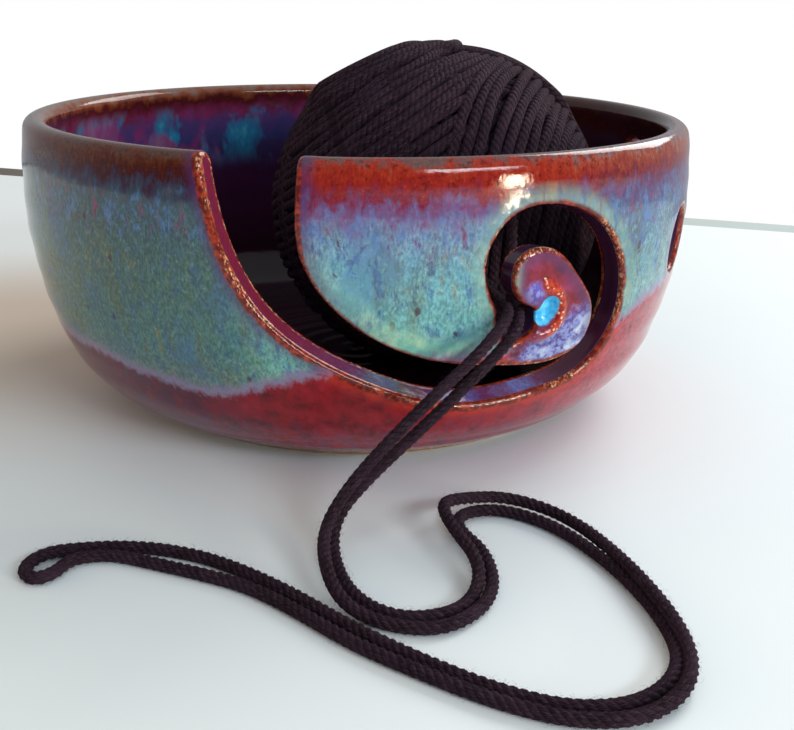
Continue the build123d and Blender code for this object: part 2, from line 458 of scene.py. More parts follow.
# Spacing of the mesh's points in millimetres: along the cuts, over the wall, round the lip and
# the foot ring, up to the shoulder, on the floor and the underside, and over the curl.
GUIDE_STEP = 0.6
GRID_STEP = 1.3
LIP_STEP = 0.55
RING_STEP = 0.4
SHOULDER_STEP = 0.9
DISC_STEP = 3.5
FINE_STEP = 0.6
CURL_REACH = 12.5
POLE_GAP = 2.0
# Where those spacings change: this far below the lip, outside and inside these radii, and below
# this height.
LIP_ROWS = 3.2
RING_ROWS = 44
DISC_ROWS = 42.5
SHOULDER_ROWS = 7
# Shares of its own distance or spacing that a point has to keep from an edge or a neighbour.
CORNER_CLEAR = 0.86
GRID_CLEAR = 0.55
PATCH_CLEAR = 0.6
# This close under the lip, the wall is taken as upright and as this much narrower than the lip.
LIP_ZONE = 3
LIP_LEAN = 0.6
# Rows of points over a rounded arris, and down a cut face, as shares of its width.
ROUNDING_ROWS = (0.08, 0.29, 0.62, 1.0)
CUT_ROWS = (0.10, 0.24, 0.42, 0.58, 0.76, 0.90)
# Stands for a point that is far from every cut, or from the line on the curl.
FAR = 30.0
# Values on a cut face, and at the middle of the underside and of the floor, apart from nothing.
CUT_VALUES = {"cut": 1.0, "inside": 0.5, "ridge": FAR, "above_dip": 5.0}
POLE_VALUES = {"arris": [FAR, FAR], "ridge": [FAR, FAR], "inside": [0, 1], "above_dip": [-20, -20]}
POINT_VALUES = ("arris", "inside", "pool", "cut", "above_dip", "thick", "curl", "ridge")


def gap_to(line):
    """Function that gives the distance from places to the nearest point of a line."""
    tree = kdtree.KDTree(len(line))
    for i, p in enumerate(line):
        tree.insert((*p, 0)[:3], i)
    tree.balance()
    return lambda places: np.array([tree.find((*p, 0)[:3])[2] for p in places])


def smooth_line(points, step):
    """Evenly sampled natural cubic through the points, spaced by their chords."""
    points = np.array(points, float)
    steps = np.linalg.norm(np.diff(points, axis=0), axis=1)
    knots = np.concatenate([[0], np.cumsum(steps)])
    slope = np.diff(points, axis=0) / steps[:, None]
    system, load = np.eye(len(points)), np.zeros_like(points)
    for i in range(1, len(points) - 1):
        system[i, i - 1:i + 2] = steps[i - 1], 2 * (steps[i - 1] + steps[i]), steps[i]
        load[i] = 6 * (slope[i] - slope[i - 1])
    bend = np.linalg.solve(system, load)
    at = np.linspace(0, knots[-1], max(3, int(knots[-1] / step) + 1))
    span = np.clip(np.searchsorted(knots, at, side="right") - 1, 0, len(points) - 2)
    width, right = steps[span][:, None], (at - knots[span])[:, None]
    left = width - right
    curve = (bend[span] * left ** 3 + bend[span + 1] * right ** 3) / (6 * width)
    curve += (points[span] / width - bend[span] * width / 6) * left
    return curve + (points[span + 1] / width - bend[span + 1] * width / 6) * right


def knife_rays(section):
    """The guide's outline as knife rays (bearing, slope), below the lip only."""
    rays = []
    for curve in GUIDE_OUTLINE:
        arc, height = np.array(curve).T
        angle = arc / section.rim_radius
        below_lip = section.height - LIP_ZONE
        outer = section.where_height(np.minimum(height, below_lip), inside=False)
        above = section.rim_radius - LIP_LEAN
        radius = np.where(height < below_lip, section.at(outer)[0][:, 0], above)
        slope = (height - KNIFE_FOCUS_HEIGHT) / (radius * np.cos(angle))
        sheet = np.stack([np.tan(angle), slope], axis=1)
        x, y = smooth_line(sheet * section.rim_radius, GUIDE_STEP).T / section.rim_radius
        ray = np.stack([np.arctan(x), y * np.cos(np.arctan(x))], axis=1)
        rays.append(ray if not rays else ray[1:])
    rays = np.concatenate(rays)
    top = section.slope[section.crest]
    below = np.flatnonzero(rays[:, 1] < top)
    first, last = below[0], below[-1]
    ends = []
    for low, high in ((first, first - 1), (last, last + 1)):
        share = (top - rays[low, 1]) / (rays[high, 1] - rays[low, 1])
        ends.append([rays[low, 0] + share * (rays[high, 0] - rays[low, 0]), top])
    return np.concatenate([[ends[0]], rays[first:last + 1], [ends[1]]])


def guide_cut(section):
    """Outer and inner edge of the guide's cut, as (bearing, length along the section)."""
    bearing, slope = knife_rays(section).T
    outer = np.stack([bearing, section.where(slope, inside=False)], axis=1)
    inner = np.stack([bearing, section.where(slope, inside=True)], axis=1)
    outer[0, 1] = inner[0, 1] = outer[-1, 1] = inner[-1, 1] = section.s[section.crest]
    return outer, inner


def needle_cut(section, degrees, height):
    """Outer and inner edge of a round hole drilled straight through the wall."""
    count = int(FULL_TURN * NEEDLE_HOLE_RADIUS / GUIDE_STEP)
    angle = np.linspace(0, FULL_TURN, count, endpoint=False)
    across, up = NEEDLE_HOLE_RADIUS * np.cos(angle), height + NEEDLE_HOLE_RADIUS * np.sin(angle)
    edges = []
    for inside in (False, True):
        s = section.where_height(up, inside)
        radius = section.at(s)[0][:, 0]
        edges.append(np.stack([math.radians(degrees) + np.arcsin(across / radius), s], axis=1))
    return edges


def section_rows(section):
    """Lengths along the section where rows of points lie, closer together round the lip and foot."""
    rows = [POLE_GAP]
    while rows[-1] < section.s[-1] - POLE_GAP:
        radius, z = section.at(np.array(rows[-1]))[0]
        if z > section.height - LIP_ROWS:
            step = LIP_STEP
        elif z < BARE_HEIGHT and radius > RING_ROWS:
            step = RING_STEP
        elif radius < DISC_ROWS:
            step = DISC_STEP
        elif z < SHOULDER_ROWS:
            step = SHOULDER_STEP
        else:
            step = GRID_STEP
        rows.append(rows[-1] + step)
    rows[-1] = section.s[-1] - POLE_GAP
    return np.array(rows)


class BowlMesh:
    """Collects the bowl's points on its unrolled surface, and joins them with triangles."""

    def __init__(self, section, settings):
        self.section = section
        self.round = settings.arris / MM
        self.flat, self.depth, self.arris = [], [], []
        self.edges, self.loops = [], []
        self.sheet_radius = section.rim_radius

    def add_points(self, flat, depth, arris):
        first = sum(len(block) for block in self.flat)
        self.flat.append(np.asarray(flat, float))
        self.depth.append(np.broadcast_to(depth, len(flat)).astype(float))
        self.arris.append(np.broadcast_to(arris, len(flat)).astype(float))
        return np.arange(first, first + len(flat))

    def unrolled(self, edge):
        return np.stack([edge[:, 0] * self.sheet_radius, edge[:, 1]], axis=1)

    def add_loop(self, loop):
        """One closed edge of a cut, with the rows of its rounded arris on the clay's side."""
        area = np.sum(loop[:, 0] * np.roll(loop[:, 1], -1) - np.roll(loop[:, 0], -1) * loop[:, 1])
        forward = np.roll(loop, -1, axis=0) - np.roll(loop, 1, axis=0)
        scale = self.section.at(loop[:, 1])[0][..., 0] / self.sheet_radius
        outward = np.stack([forward[:, 1], -forward[:, 0] * scale], axis=1) * np.sign(area)
        outward /= np.linalg.norm(outward, axis=1)[:, None]
        outward[:, 0] /= scale
        ids = self.add_points(loop, self.round, 0.0)
        self.edges += [(int(a), int(b)) for a, b in zip(ids, np.roll(ids, -1))]
        self.loops.append([int(i) for i in (ids if area > 0 else ids[::-1])])
        gap = gap_to(loop)
        for row in ROUNDING_ROWS:
            distance = row * self.round
            points = loop + outward * distance
            keep = gap(points) > CORNER_CLEAR * distance
            sunk = self.round - math.sqrt(self.round ** 2 - (self.round - distance) ** 2)
            self.add_points(points[keep], sunk, distance)
        return ids

    def add_grid(self):
        """Even rows of points all round the section, left out close to the cuts."""
        columns = int(FULL_TURN * self.sheet_radius / GRID_STEP)
        across = np.linspace(-math.pi, math.pi, columns + 1) * self.sheet_radius
        rows = section_rows(self.section)
        edge_points = np.concatenate(self.flat)
        gap = gap_to(edge_points)
        low, high = edge_points.min(0) - 2, edge_points.max(0) + 2
        ids = []
        for row, s in enumerate(rows):
            line = across.copy()
            line[1:-1] += (0.5 * (row % 2) - 0.25) * (across[1] - across[0])
            points = np.stack([line, np.full(len(line), s)], axis=1)
            if low[1] < s < high[1]:
                near = np.full(len(points), FAR)
                inside = (points[:, 0] > low[0]) & (points[:, 0] < high[0])
                near[inside] = gap(points[inside])
                points = points[near > GRID_CLEAR * GRID_STEP]
            ids.append(self.add_points(points, 0.0, FAR))
        return ids[0], ids[-1]

    def add_fine_patch(self):
        """Points between the rows over the curl, where the raised line and the pool lie."""
        arc, height = CURL_CENTRE
        middle = np.array([arc, float(self.section.where_height(height, inside=False))])
        across = np.arange(-CURL_REACH, CURL_REACH, FINE_STEP)
        points = middle + np.stack(np.meshgrid(across, across), axis=-1).reshape(-1, 2)
        near = gap_to(np.concatenate(self.flat))(points)
        in_reach = np.hypot(*(points - middle).T) < CURL_REACH
        self.add_points(points[(near > PATCH_CLEAR * FINE_STEP) & in_reach], 0.0, FAR)

    def triangulate(self):
        """Triangles of the unrolled sheet outside the cuts."""
        flat = np.concatenate(self.flat)
        found = delaunay_2d_cdt([Vector(p) for p in flat], self.edges, self.loops, 0, 1e-6)
        points, _, faces, origin, _, face_origin = found
        source = np.array([o[0] if o else -1 for o in origin])
        if (source < 0).any() or len(points) != len(flat):
            raise RuntimeError(f"the bowl's cuts cross: {len(flat)} points became {len(points)}")
        return [[int(source[i]) for i in face] for face, owner in zip(faces, face_origin) if not owner]


def cut_wall(outer_ids, inner_ids, points, closed):
    """Quads from the outer edge of a cut to its inner edge, with rows of new points between."""
    count = len(outer_ids)
    grid = [outer_ids]
    new_points, first = [], len(points)
    for share in CUT_ROWS:
        line = []
        for a, b in zip(outer_ids, inner_ids):
            if a == b:
                line.append(a)
            else:
                new_points.append(points[a] * (1 - share) + points[b] * share)
                line.append(first + len(new_points) - 1)
        grid.append(line)
    grid.append(inner_ids)
    faces = []
    for upper, lower in zip(grid, grid[1:]):
        for i in range(count if closed else count - 1):
            j = (i + 1) % count
            face = [upper[i], upper[j], lower[j], lower[i]]
            face = [v for k, v in enumerate(face) if v != face[k - 1]]
            if len(set(face)) > 2:
                faces.append(face)
    return np.array(new_points), faces


def dip_height(bearing):
    """Height of the dipped glaze's end at a bearing."""
    degrees, heights = np.array(DIP_LINE, float).T
    return np.interp(np.degrees(bearing), degrees, heights)


def build_bowl(settings):
    """The bowl as one closed mesh with the point attributes that its glaze needs."""
    section = Section(settings)
    mesh = BowlMesh(section, settings)
    outer, inner = guide_cut(section)
    loop = np.concatenate([mesh.unrolled(outer), mesh.unrolled(inner)[-2:0:-1]])
    ids = mesh.add_loop(loop)
    outer_ids = list(ids[:len(outer)])
    inner_ids = [ids[0]] + list(ids[len(outer):][::-1]) + [ids[len(outer) - 1]]
    walls = [(outer_ids, inner_ids, False)]
    for degrees, height in NEEDLE_HOLES:
        edges = needle_cut(section, degrees, height)
        walls.append((*(list(mesh.add_loop(mesh.unrolled(edge))) for edge in edges), True))
    first_row, last_row = mesh.add_grid()
    mesh.add_fine_patch()
    faces = mesh.triangulate()

    flat, depth, arris = (np.concatenate(block) for block in (mesh.flat, mesh.depth, mesh.arris))
    bearing, s = flat[:, 0] / mesh.sheet_radius, flat[:, 1]
    surface = section.place(bearing, s, 0 * s)
    gap = gap_to(surface[arris < 1e-6])
    away = arris == FAR
    arris[away] = np.minimum(gap(surface[away]), FAR)
    inside = (s > section.s[section.crest]).astype(float)
    height = surface[:, 2]
    pool = pool_share(flat, section, inside)
    rings = throwing_rings(surface, bearing) * ease(arris, 1.0, 5.0) * ease(height, 2.0, 6.0)
    values = {"arris": arris, "inside": inside, "pool": pool, "cut": np.zeros(len(s)),
              "above_dip": height - dip_height(bearing), **painted_zones(section, flat, inside)}
    line = (1 - ease(values["ridge"], 0.2, 1.7)) * ease(arris, 0.2, 1.6) * (inside < 0.5)
    depth = depth + pool * settings.pool_depth / MM + rings * settings.ring_depth / MM
    depth = depth - line * settings.ridge_height / MM
    points = section.place(bearing, s, depth)

    for outer_ids, inner_ids, closed in walls:
        new_points, quads = cut_wall(outer_ids, inner_ids, points, closed)
        faces += quads
        points = np.concatenate([points, new_points])
        added = {name: np.full(len(new_points), CUT_VALUES.get(name, 0.0)) for name in values}
        added["arris"] = gap(new_points)
        values = {name: np.concatenate([values[name], added[name]]) for name in values}

    poles = np.array([[0, 0, section.line[0, 1]], [0, 0, section.line[-1, 1]]])
    points = np.concatenate([points, poles])
    for name in values:
        values[name] = np.concatenate([values[name], POLE_VALUES.get(name, [0, 0])])
    for row, pole, flip in ((first_row, len(points) - 2, True), (last_row, len(points) - 1, False)):
        for a, b in zip(row, row[1:]):
            faces.append([int(b), int(a), pole] if flip else [int(a), int(b), pole])
    return mesh_object("bowl_glazed", points * MM, faces, values)


def template_place(section, flat):
    """Arc length and height on the paper template of points on the unrolled wall."""
    return np.stack([flat[:, 0], section.at(flat[:, 1])[0][:, 1]], axis=1)


def pool_share(flat, section, inside):
    """1 in the hollow of the curl where glaze pools, and 0 a little way outside it."""
    place = template_place(section, flat)
    across, up = (place - POOL_CENTRE).T
    across, up = (across - POOL_SLANT * up) / POOL_HALF_WIDTH, up / POOL_HALF_HEIGHT
    return (1 - ease(np.sqrt(across ** 2 + up ** 2), 0.45, 1.15)) * (inside < 0.5)


def painted_zones(section, flat, inside):
    """Where glaze lies thick along the panel's lower edge and round the eye, and the curl."""
    place = template_place(section, flat)
    arc, height = place.T
    zones = {name: np.zeros(len(place)) for name in ("thick", "curl", "ridge")}
    zones["ridge"] += FAR
    near = np.flatnonzero((inside < 0.5) & (arc > -20) & (arc < 75) & (height > 16))
    underside = smooth_line(GUIDE_OUTLINE[3], 0.5)
    underside = underside[(underside[:, 0] < 31) & (underside[:, 1] < 46)]
    eye = smooth_line(GUIDE_OUTLINE[0], 0.5)
    eye = eye[(eye[:, 0] > 22.5) & (eye[:, 1] > 26)]
    edge = 1 - ease(gap_to(underside)(place[near]), 2.6, 6.0)
    edge = edge * (0.25 + 0.75 * ease(arc[near], -8, 10))
    halo = 0.62 * (1 - ease(gap_to(eye)(place[near]), 1.6, 4.6))
    curl = 1 - ease(np.hypot(arc[near] - CURL_CENTRE[0], height[near] - CURL_CENTRE[1]), 14.6, 15.4)
    curl = curl * ease(arc[near], 28.2, 31.4) * (height[near] < 49.8)
    zones["thick"][near] = np.maximum(edge * (arc[near] < 33), halo) * (1 - curl)
    zones["curl"][near] = curl
    zones["ridge"][near] = gap_to(smooth_line(CURL_RIDGE, 0.2))(place[near])
    return zones


def throwing_rings(surface, bearing):
    """Soft uneven rings, as the fingers leave them, from -1 to 1."""
    height = surface[:, 2]
    drift = 1.3 * np.sin(bearing + 0.4) + 0.5 * np.sin(3 * bearing)
    return np.sin(height / 1.15 + drift) * 0.6 + np.sin(height / 2.6 - 0.7 * drift) * 0.5


def mesh_object(name, points, faces, values):
    """A smooth object from points and faces, its doubles merged and its faces turned outward."""
    mesh = bpy.data.meshes.new(name)
    mesh.from_pydata([tuple(p) for p in points], [], faces)
    for key, value in values.items():
        stored = mesh.attributes.new(key, "FLOAT", "POINT").data
        stored.foreach_set("value", np.asarray(value, np.float32))
    work = bmesh.new()
    work.from_mesh(mesh)
    bmesh.ops.remove_doubles(work, verts=work.verts, dist=2e-6)
    bmesh.ops.recalc_face_normals(work, faces=work.faces)
    open_edges = sum(1 for edge in work.edges if not edge.is_manifold)
    if open_edges:
        raise RuntimeError(f"{name} is not closed: {open_edges} open edges")
    work.to_mesh(mesh)
    work.free()
    mesh.shade_smooth()
    return linked(name, mesh)

# --------------------------------------------------------------------------- glaze


def make_glaze(c):
    """Crimson under a running teal glaze, which breaks to rust on every arris, with painted cream
    highlights there.
    """
    material, g, shader = new_material("running_glaze", c.teal, 0.12)
    place = g.place()
    x, y, z = g.split(place)
    at = SimpleNamespace(
        place=place, across=x, bearing=g.math("ARCTAN2", x, y * -1.0), height=z * 1000.0,
        grain=g.noise(g.squashed(place, 0.5), 2000.0, 3.0, 0.6),
        fine=g.noise(place, 900.0, 4.0, 0.6),
        mottle=g.noise(place, 260.0, 5.0, 0.62),
        broad=g.noise(place, 70.0, 3.0, 0.5),
        runs=g.noise(g.squashed(place, 0.28), 620.0, 4.0, 0.62, 0.5),
        blotch=g.noise(g.squashed(place, 0.6), 430.0, 4.0, 0.66, 0.3),
        long_runs=g.noise(g.squashed(place, 0.12), 240.0, 3.0, 0.55),
        **{name: g.attribute(name) for name in POINT_VALUES},
    )
    # The left and the back share one look with painted shade, so nothing changes where the bearing
    # starts again.
    at.far_side = g.math("MAXIMUM", at.bearing.rise(-0.14, -0.36), at.bearing.rise(1.5, 2.7))

    dip = at.fine.stray(at.runs.stray(at.above_dip, 3.4), 3.0)
    fringe = g.mix(dip.rise(0.2, 3.0), (132, 120, 148), outer_field(g, at))
    outside = g.mix(dip.rise(-1.3, 0.7), crimson_field(g, c, at), fringe)
    outside = outside.under(at.curl, curl_field(g, at))
    whole = outside.under(at.inside.rise(0.45, 0.55), inner_field(g, at))
    whole = whole.under(at.cut.rise(0.3, 0.8), cut_face(g, at))
    whole = edge_breaks(g, c, whole, at)
    pool = at.fine.stray(at.pool, 0.35)
    whole = whole.under(pool.rise(0.30, 0.48), g.mix(at.fine.rise(0.35, 0.65), c.pool, (96, 200, 240)))

    relief = at.fine * 0.3 + at.mottle * 0.9
    beads = g.cells(place, 1000.0) * at.arris.rise(1.8, 0.4)
    relief = at.ridge.rise(1.6, 0.2).onto(beads.onto(relief, 0.7), 1.6)
    spiral = g.math("SINE", g.math("SQRT", x * x + y * y).onto(at.bearing, 1050.0))
    relief = spiral.onto(relief, at.height.rise(9.0, 6.4, 0.0, 1.6))
    g.feed(shader, {"Base Color": whole, "Normal": g.bump(relief, 0.32, 0.00022), "IOR": 1.5,
                    "Roughness": (at.fine + at.mottle).rise(0.8, 1.3, 0.045, 0.13),
                    "Specular IOR Level": 0.36})
    return material


def outer_field(g, at):
    """The running glaze on the outer wall, from the lip down, with painted shade on the left and back.
    """
    level = at.grain.stray(at.mottle.stray(at.runs.stray(at.height, 8.0), 9.0), 3.0)
    level = g.math("MINIMUM", level, at.height.onto(33.6, 0.5))
    rise = level / 66.0
    front = rise.ramp((0.34, 132, 188, 166), (0.50, 124, 186, 182), (0.68, 112, 172, 186),
                      (0.79, 118, 146, 176), (0.85, 112, 92, 138), (0.90, 122, 40, 62),
                      (0.935, 142, 34, 26), (0.978, 152, 48, 30), (1.0, 104, 74, 72))
    # Painted shade: darker, more olive colours for the left and the back.
    left = rise.ramp((0.28, 112, 128, 124), (0.42, 90, 128, 122), (0.66, 82, 112, 104),
                     (0.85, 66, 92, 98), (0.90, 62, 58, 80), (0.932, 68, 26, 30),
                     (0.958, 84, 34, 18), (0.98, 94, 46, 24), (1.0, 84, 58, 50))
    right = rise.ramp((0.40, 140, 132, 140), (0.52, 124, 166, 168), (0.66, 100, 148, 162),
                      (0.79, 90, 116, 144), (0.88, 90, 68, 108), (0.92, 112, 34, 44),
                      (0.955, 132, 50, 36), (0.98, 140, 70, 50), (1.0, 116, 98, 106))
    field = front.under(at.bearing.rise(0.42, 0.72), right).under(at.far_side, left)
    body, lip = level.rise(58.0, 52.0), level.rise(57.0, 62.0)
    verge = level.rise(48.0, 53.0) * level.rise(60.0, 55.0)
    # The painted shade also thins the pale flecks and blue runs on the left and back.
    front_share = at.far_side.onto(1.0, -0.55)
    ochre = at.blotch.rise(0.58, 0.66) * at.broad.rise(0.50, 0.40)
    patch = at.broad.rise(0.50, 0.62) * at.grain.rise(0.40, 0.60)
    speck = g.cells(g.squashed(at.place, 0.6), 260.0).rise(0.20, 0.12)
    rare = g.cells(at.place, 260.0, output=1).rise(0.60, 0.68)
    dark, light = lip * at.fine.rise(0.46, 0.34), lip * at.grain.rise(0.62, 0.74)
    for share, tone in (
        (at.runs.rise(0.50, 0.32, 0.0, 0.42) * front_share * body, (60, 88, 146)),
        (at.blotch.rise(0.47, 0.38, 0.0, 0.62) * front_share * body, (58, 86, 158)),
        (at.long_runs.rise(0.50, 0.66, 0.0, 0.42) * body, (106, 110, 72)),
        (ochre * 0.55 * body, (142, 126, 84)),
        (at.fine.rise(0.52, 0.70, 0.0, 0.34) * front_share * body, (164, 212, 214)),
        (verge * at.blotch.rise(0.50, 0.62, 0.0, 0.7), (92, 124, 178)),
        (verge * at.blotch.rise(0.46, 0.36, 0.0, 0.7), (134, 62, 96)),
        (patch * 0.50 * body, (66, 98, 160)),
        (speck * rare * 0.8 * body, (76, 34, 54)),
        (dark * 0.55, (64, 16, 16)),
        (light * 0.16, (206, 120, 74)),
    ):
        field = field.under(share, tone)
    grain = g.mix(at.grain.rise(0.36, 0.64), (70, 76, 84), (190, 192, 188))
    field = field.under(body.onto(0.24, 0.22), grain, "OVERLAY")
    mint = g.mix(at.mottle.rise(0.38, 0.66), (112, 176, 160), (172, 204, 164))
    return field.under(at.thick * at.runs.rise(0.30, 0.52, 0.35, 0.9), mint)


def crimson_field(g, c, at):
    """The crimson glaze below the dip line, clouded blue towards the foot, plum with painted shade on
    the left and back, and a painted light pink haze on the right.
    """
    body = at.mottle.ramp((0.30, 82, 6, 14), (0.50, c.crimson), (0.72, 152, 24, 35))
    plum_and_shade = g.math("MAXIMUM", at.bearing.rise(-0.15, -0.6), at.bearing.rise(1.5, 2.7))
    cloud = at.height.rise(18.0, 4.0) * at.runs.rise(0.42, 0.60)
    painted_light_haze = at.bearing.rise(0.30, 0.95) * at.bearing.rise(2.7, 1.5) * at.fine.rise(0.25, 0.75)
    for share, tone in (
        # Plum glaze with painted shade on the left and the back.
        (plum_and_shade * at.runs.rise(0.30, 0.55, 0.35, 0.9), (70, 20, 50)),
        (cloud * 0.42, (96, 76, 128)),
        # Painted light: a pale pink haze on the lit right side.
        (painted_light_haze * 0.60, (176, 84, 104)),
        (at.arris.rise(4.2, 1.2) * at.fine.rise(0.30, 0.60, 0.4, 0.9), (176, 46, 32)),
        (at.height.rise(2.9, 1.7) * at.mottle.rise(0.40, 0.50), (46, 20, 14)),
    ):
        body = body.under(share, tone)
    return body


def inner_field(g, at):
    """Inside: a salmon band under the lip, a dark line, then purple with turquoise clouds, darker
    towards the floor, with painted shade over the right half.
    """
    level = at.mottle.stray(at.height, 9.0)
    body = (level / 66.0).ramp((0.30, 46, 17, 36), (0.62, 64, 26, 58), (0.78, 52, 50, 96),
                               (0.86, 78, 54, 104), (0.905, 104, 32, 56), (0.945, 72, 22, 24),
                               (0.975, 124, 60, 34), (1.0, 120, 92, 80))
    soft = g.noise(g.squashed(at.place, 0.6), 85.0, 4.0, 0.6, 0.2)
    band = at.height.rise(42.0, 50.0) * at.height.rise(62.0, 57.0) * at.across.rise(0.03, -0.01)
    for share, tone in (
        # Painted shade over the right half of the inside.
        (at.across.rise(0.0, 0.04, 0.0, 0.85), (44, 20, 16)),
        (soft.rise(0.46, 0.58, 0.0, 0.85) * band, (34, 112, 150)),
        (soft.rise(0.56, 0.70, 0.0, 0.8) * band, (72, 160, 160)),
        (at.broad.rise(0.47, 0.60, 0.0, 0.8) * band, (128, 44, 92)),
        (at.height.rise(26.0, 10.0) * 0.6, (30, 10, 18)),
    ):
        body = body.under(share, tone)
    return body


def curl_field(g, at):
    """The tip of the guide: crimson, with a lavender knob, blue below, and a raised rusty line with
    painted cream highlights.
    """
    around = at.bearing * 76.0
    body = at.mottle.ramp((0.32, 84, 14, 26), (0.50, 124, 26, 38), (0.70, 138, 48, 92))
    low = at.mottle.stray((around - 38.0) * 0.55 + (38.0 - at.height), 13.0)
    pale = low.rise(8.5, 12.0) * at.mottle.rise(0.46, 0.60)
    template = g.add("CombineXYZ", {0: around, 1: at.height})
    knob = g.vector("DISTANCE", template, {1: (33.4, 40.4, 0.0)}, "Value")
    knob = at.fine.stray(knob, 2.0)
    # Painted highlight: cream glints along the raised line.
    painted_ridge_glints = g.cells(at.place, 1100.0).rise(0.36, 0.20) * at.ridge.rise(0.9, 0.4)
    blue = g.mix(at.fine.rise(0.38, 0.60), (70, 66, 138), (126, 142, 200))
    lavender = g.mix(at.fine.rise(0.42, 0.58), (88, 84, 176), (146, 150, 214))
    rust = g.mix(at.fine.rise(0.38, 0.6), (190, 72, 34), (150, 30, 26))
    for share, tone in (
        (low.rise(3.0, 8.5, 0.0, 0.88), blue),
        (pale * 0.8, (186, 200, 224)),
        (knob.rise(3.2, 1.2, 0.0, 0.95), lavender),
        (at.ridge.rise(1.7, 0.7), rust),
        (painted_ridge_glints * 0.85, (232, 206, 176)),
    ):
        body = body.under(share, tone)
    return body


def cut_face(g, at):
    """The faces left by the knife: crimson, lilac, pale blue and violet in turn round the slot, with
    painted shade on the eye's upper faces.
    """
    turned = at.mottle.stray(at.bearing, 0.22).rise(-0.42, 0.72)
    face = turned.ramp((0.10, 120, 26, 34), (0.30, 112, 62, 96), (0.40, 112, 140, 164),
                       (0.47, 112, 108, 96), (0.54, 114, 52, 100), (0.70, 96, 92, 168),
                       (0.80, 112, 36, 76), (0.885, 116, 132, 210), (0.94, 104, 36, 66),
                       (0.98, 66, 20, 20))
    face = face.under(at.grain.rise(0.40, 0.62, 0.0, 0.35), (60, 20, 40))
    # Painted shade: dark red-brown on the eye's upper cut faces.
    eye = at.height.rise(27.0, 33.0) * at.bearing.rise(0.18, 0.28)
    face = face.under(eye * 0.9, (44, 14, 12))
    needle_hole = g.mix(at.mottle, (96, 30, 34), (72, 46, 96))
    return face.under(at.bearing.rise(0.95, 1.02), needle_hole)


def edge_breaks(g, c, whole, at):
    """Where glaze runs thin over the cut's arrises: a violet verge, a rust line and painted cream
    highlights.
    """
    wander = at.mottle.stray(at.arris, 1.6)
    verge = wander.rise(4.2, 1.4, 0.0, 0.6) * at.inside.rise(0.6, 0.4)
    verge = verge * (1.0 - at.thick) * at.above_dip.rise(-1.0, 1.5)
    broad = g.math("MAXIMUM", at.bearing.rise(-0.10, -0.16), at.above_dip.rise(0.0, -2.0))
    fired = wander + broad.onto(0.7, -0.7)
    fired = at.cut.rise(0.2, 0.6).onto(fired, 0.6)
    # Painted highlight: cream glints along the arrises.
    painted_glints = at.grain.rise(0.50, 0.62) * at.arris.rise(1.0, 0.5)
    painted_glints = painted_glints * g.noise(at.place, 70.0, 2.0).rise(0.46, 0.58)
    whole = whole.under(verge, (78, 46, 92))
    whole = whole.under(fired.rise(1.9, 1.0), g.mix(at.fine.rise(0.36, 0.56), c.rust, (96, 30, 22)))
    return whole.under(painted_glints * 0.75, (222, 170, 124))


def make_clay(c):
    """Bare stoneware of the trimmed foot, with iron specks and fine trimming rings."""
    material, g, shader = new_material("bare_stoneware", c.clay, 0.85)
    place = g.place()
    x, y, _ = g.split(place)
    rings = g.math("SINE", g.math("SQRT", x * x + y * y) * 6500.0)
    tone = g.noise(place, 400.0, 4.0).ramp((0.3, 146, 108, 80), (0.6, c.clay), (0.8, 190, 158, 124))
    tone = tone.under(g.cells(place, 700.0).rise(0.22, 0.12) * 0.7, (70, 42, 30))
    relief = rings * 0.25 + g.noise(place, 1500.0, 2.0)
    g.feed(shader, {"Base Color": tone, "Normal": g.bump(relief, 0.5, 0.0001), "Roughness": 0.85})
    return material


# --------------------------------------------------------------------------- yarn

# Height of the yarn's middle where it lies on the table.
LAID = 0.0012
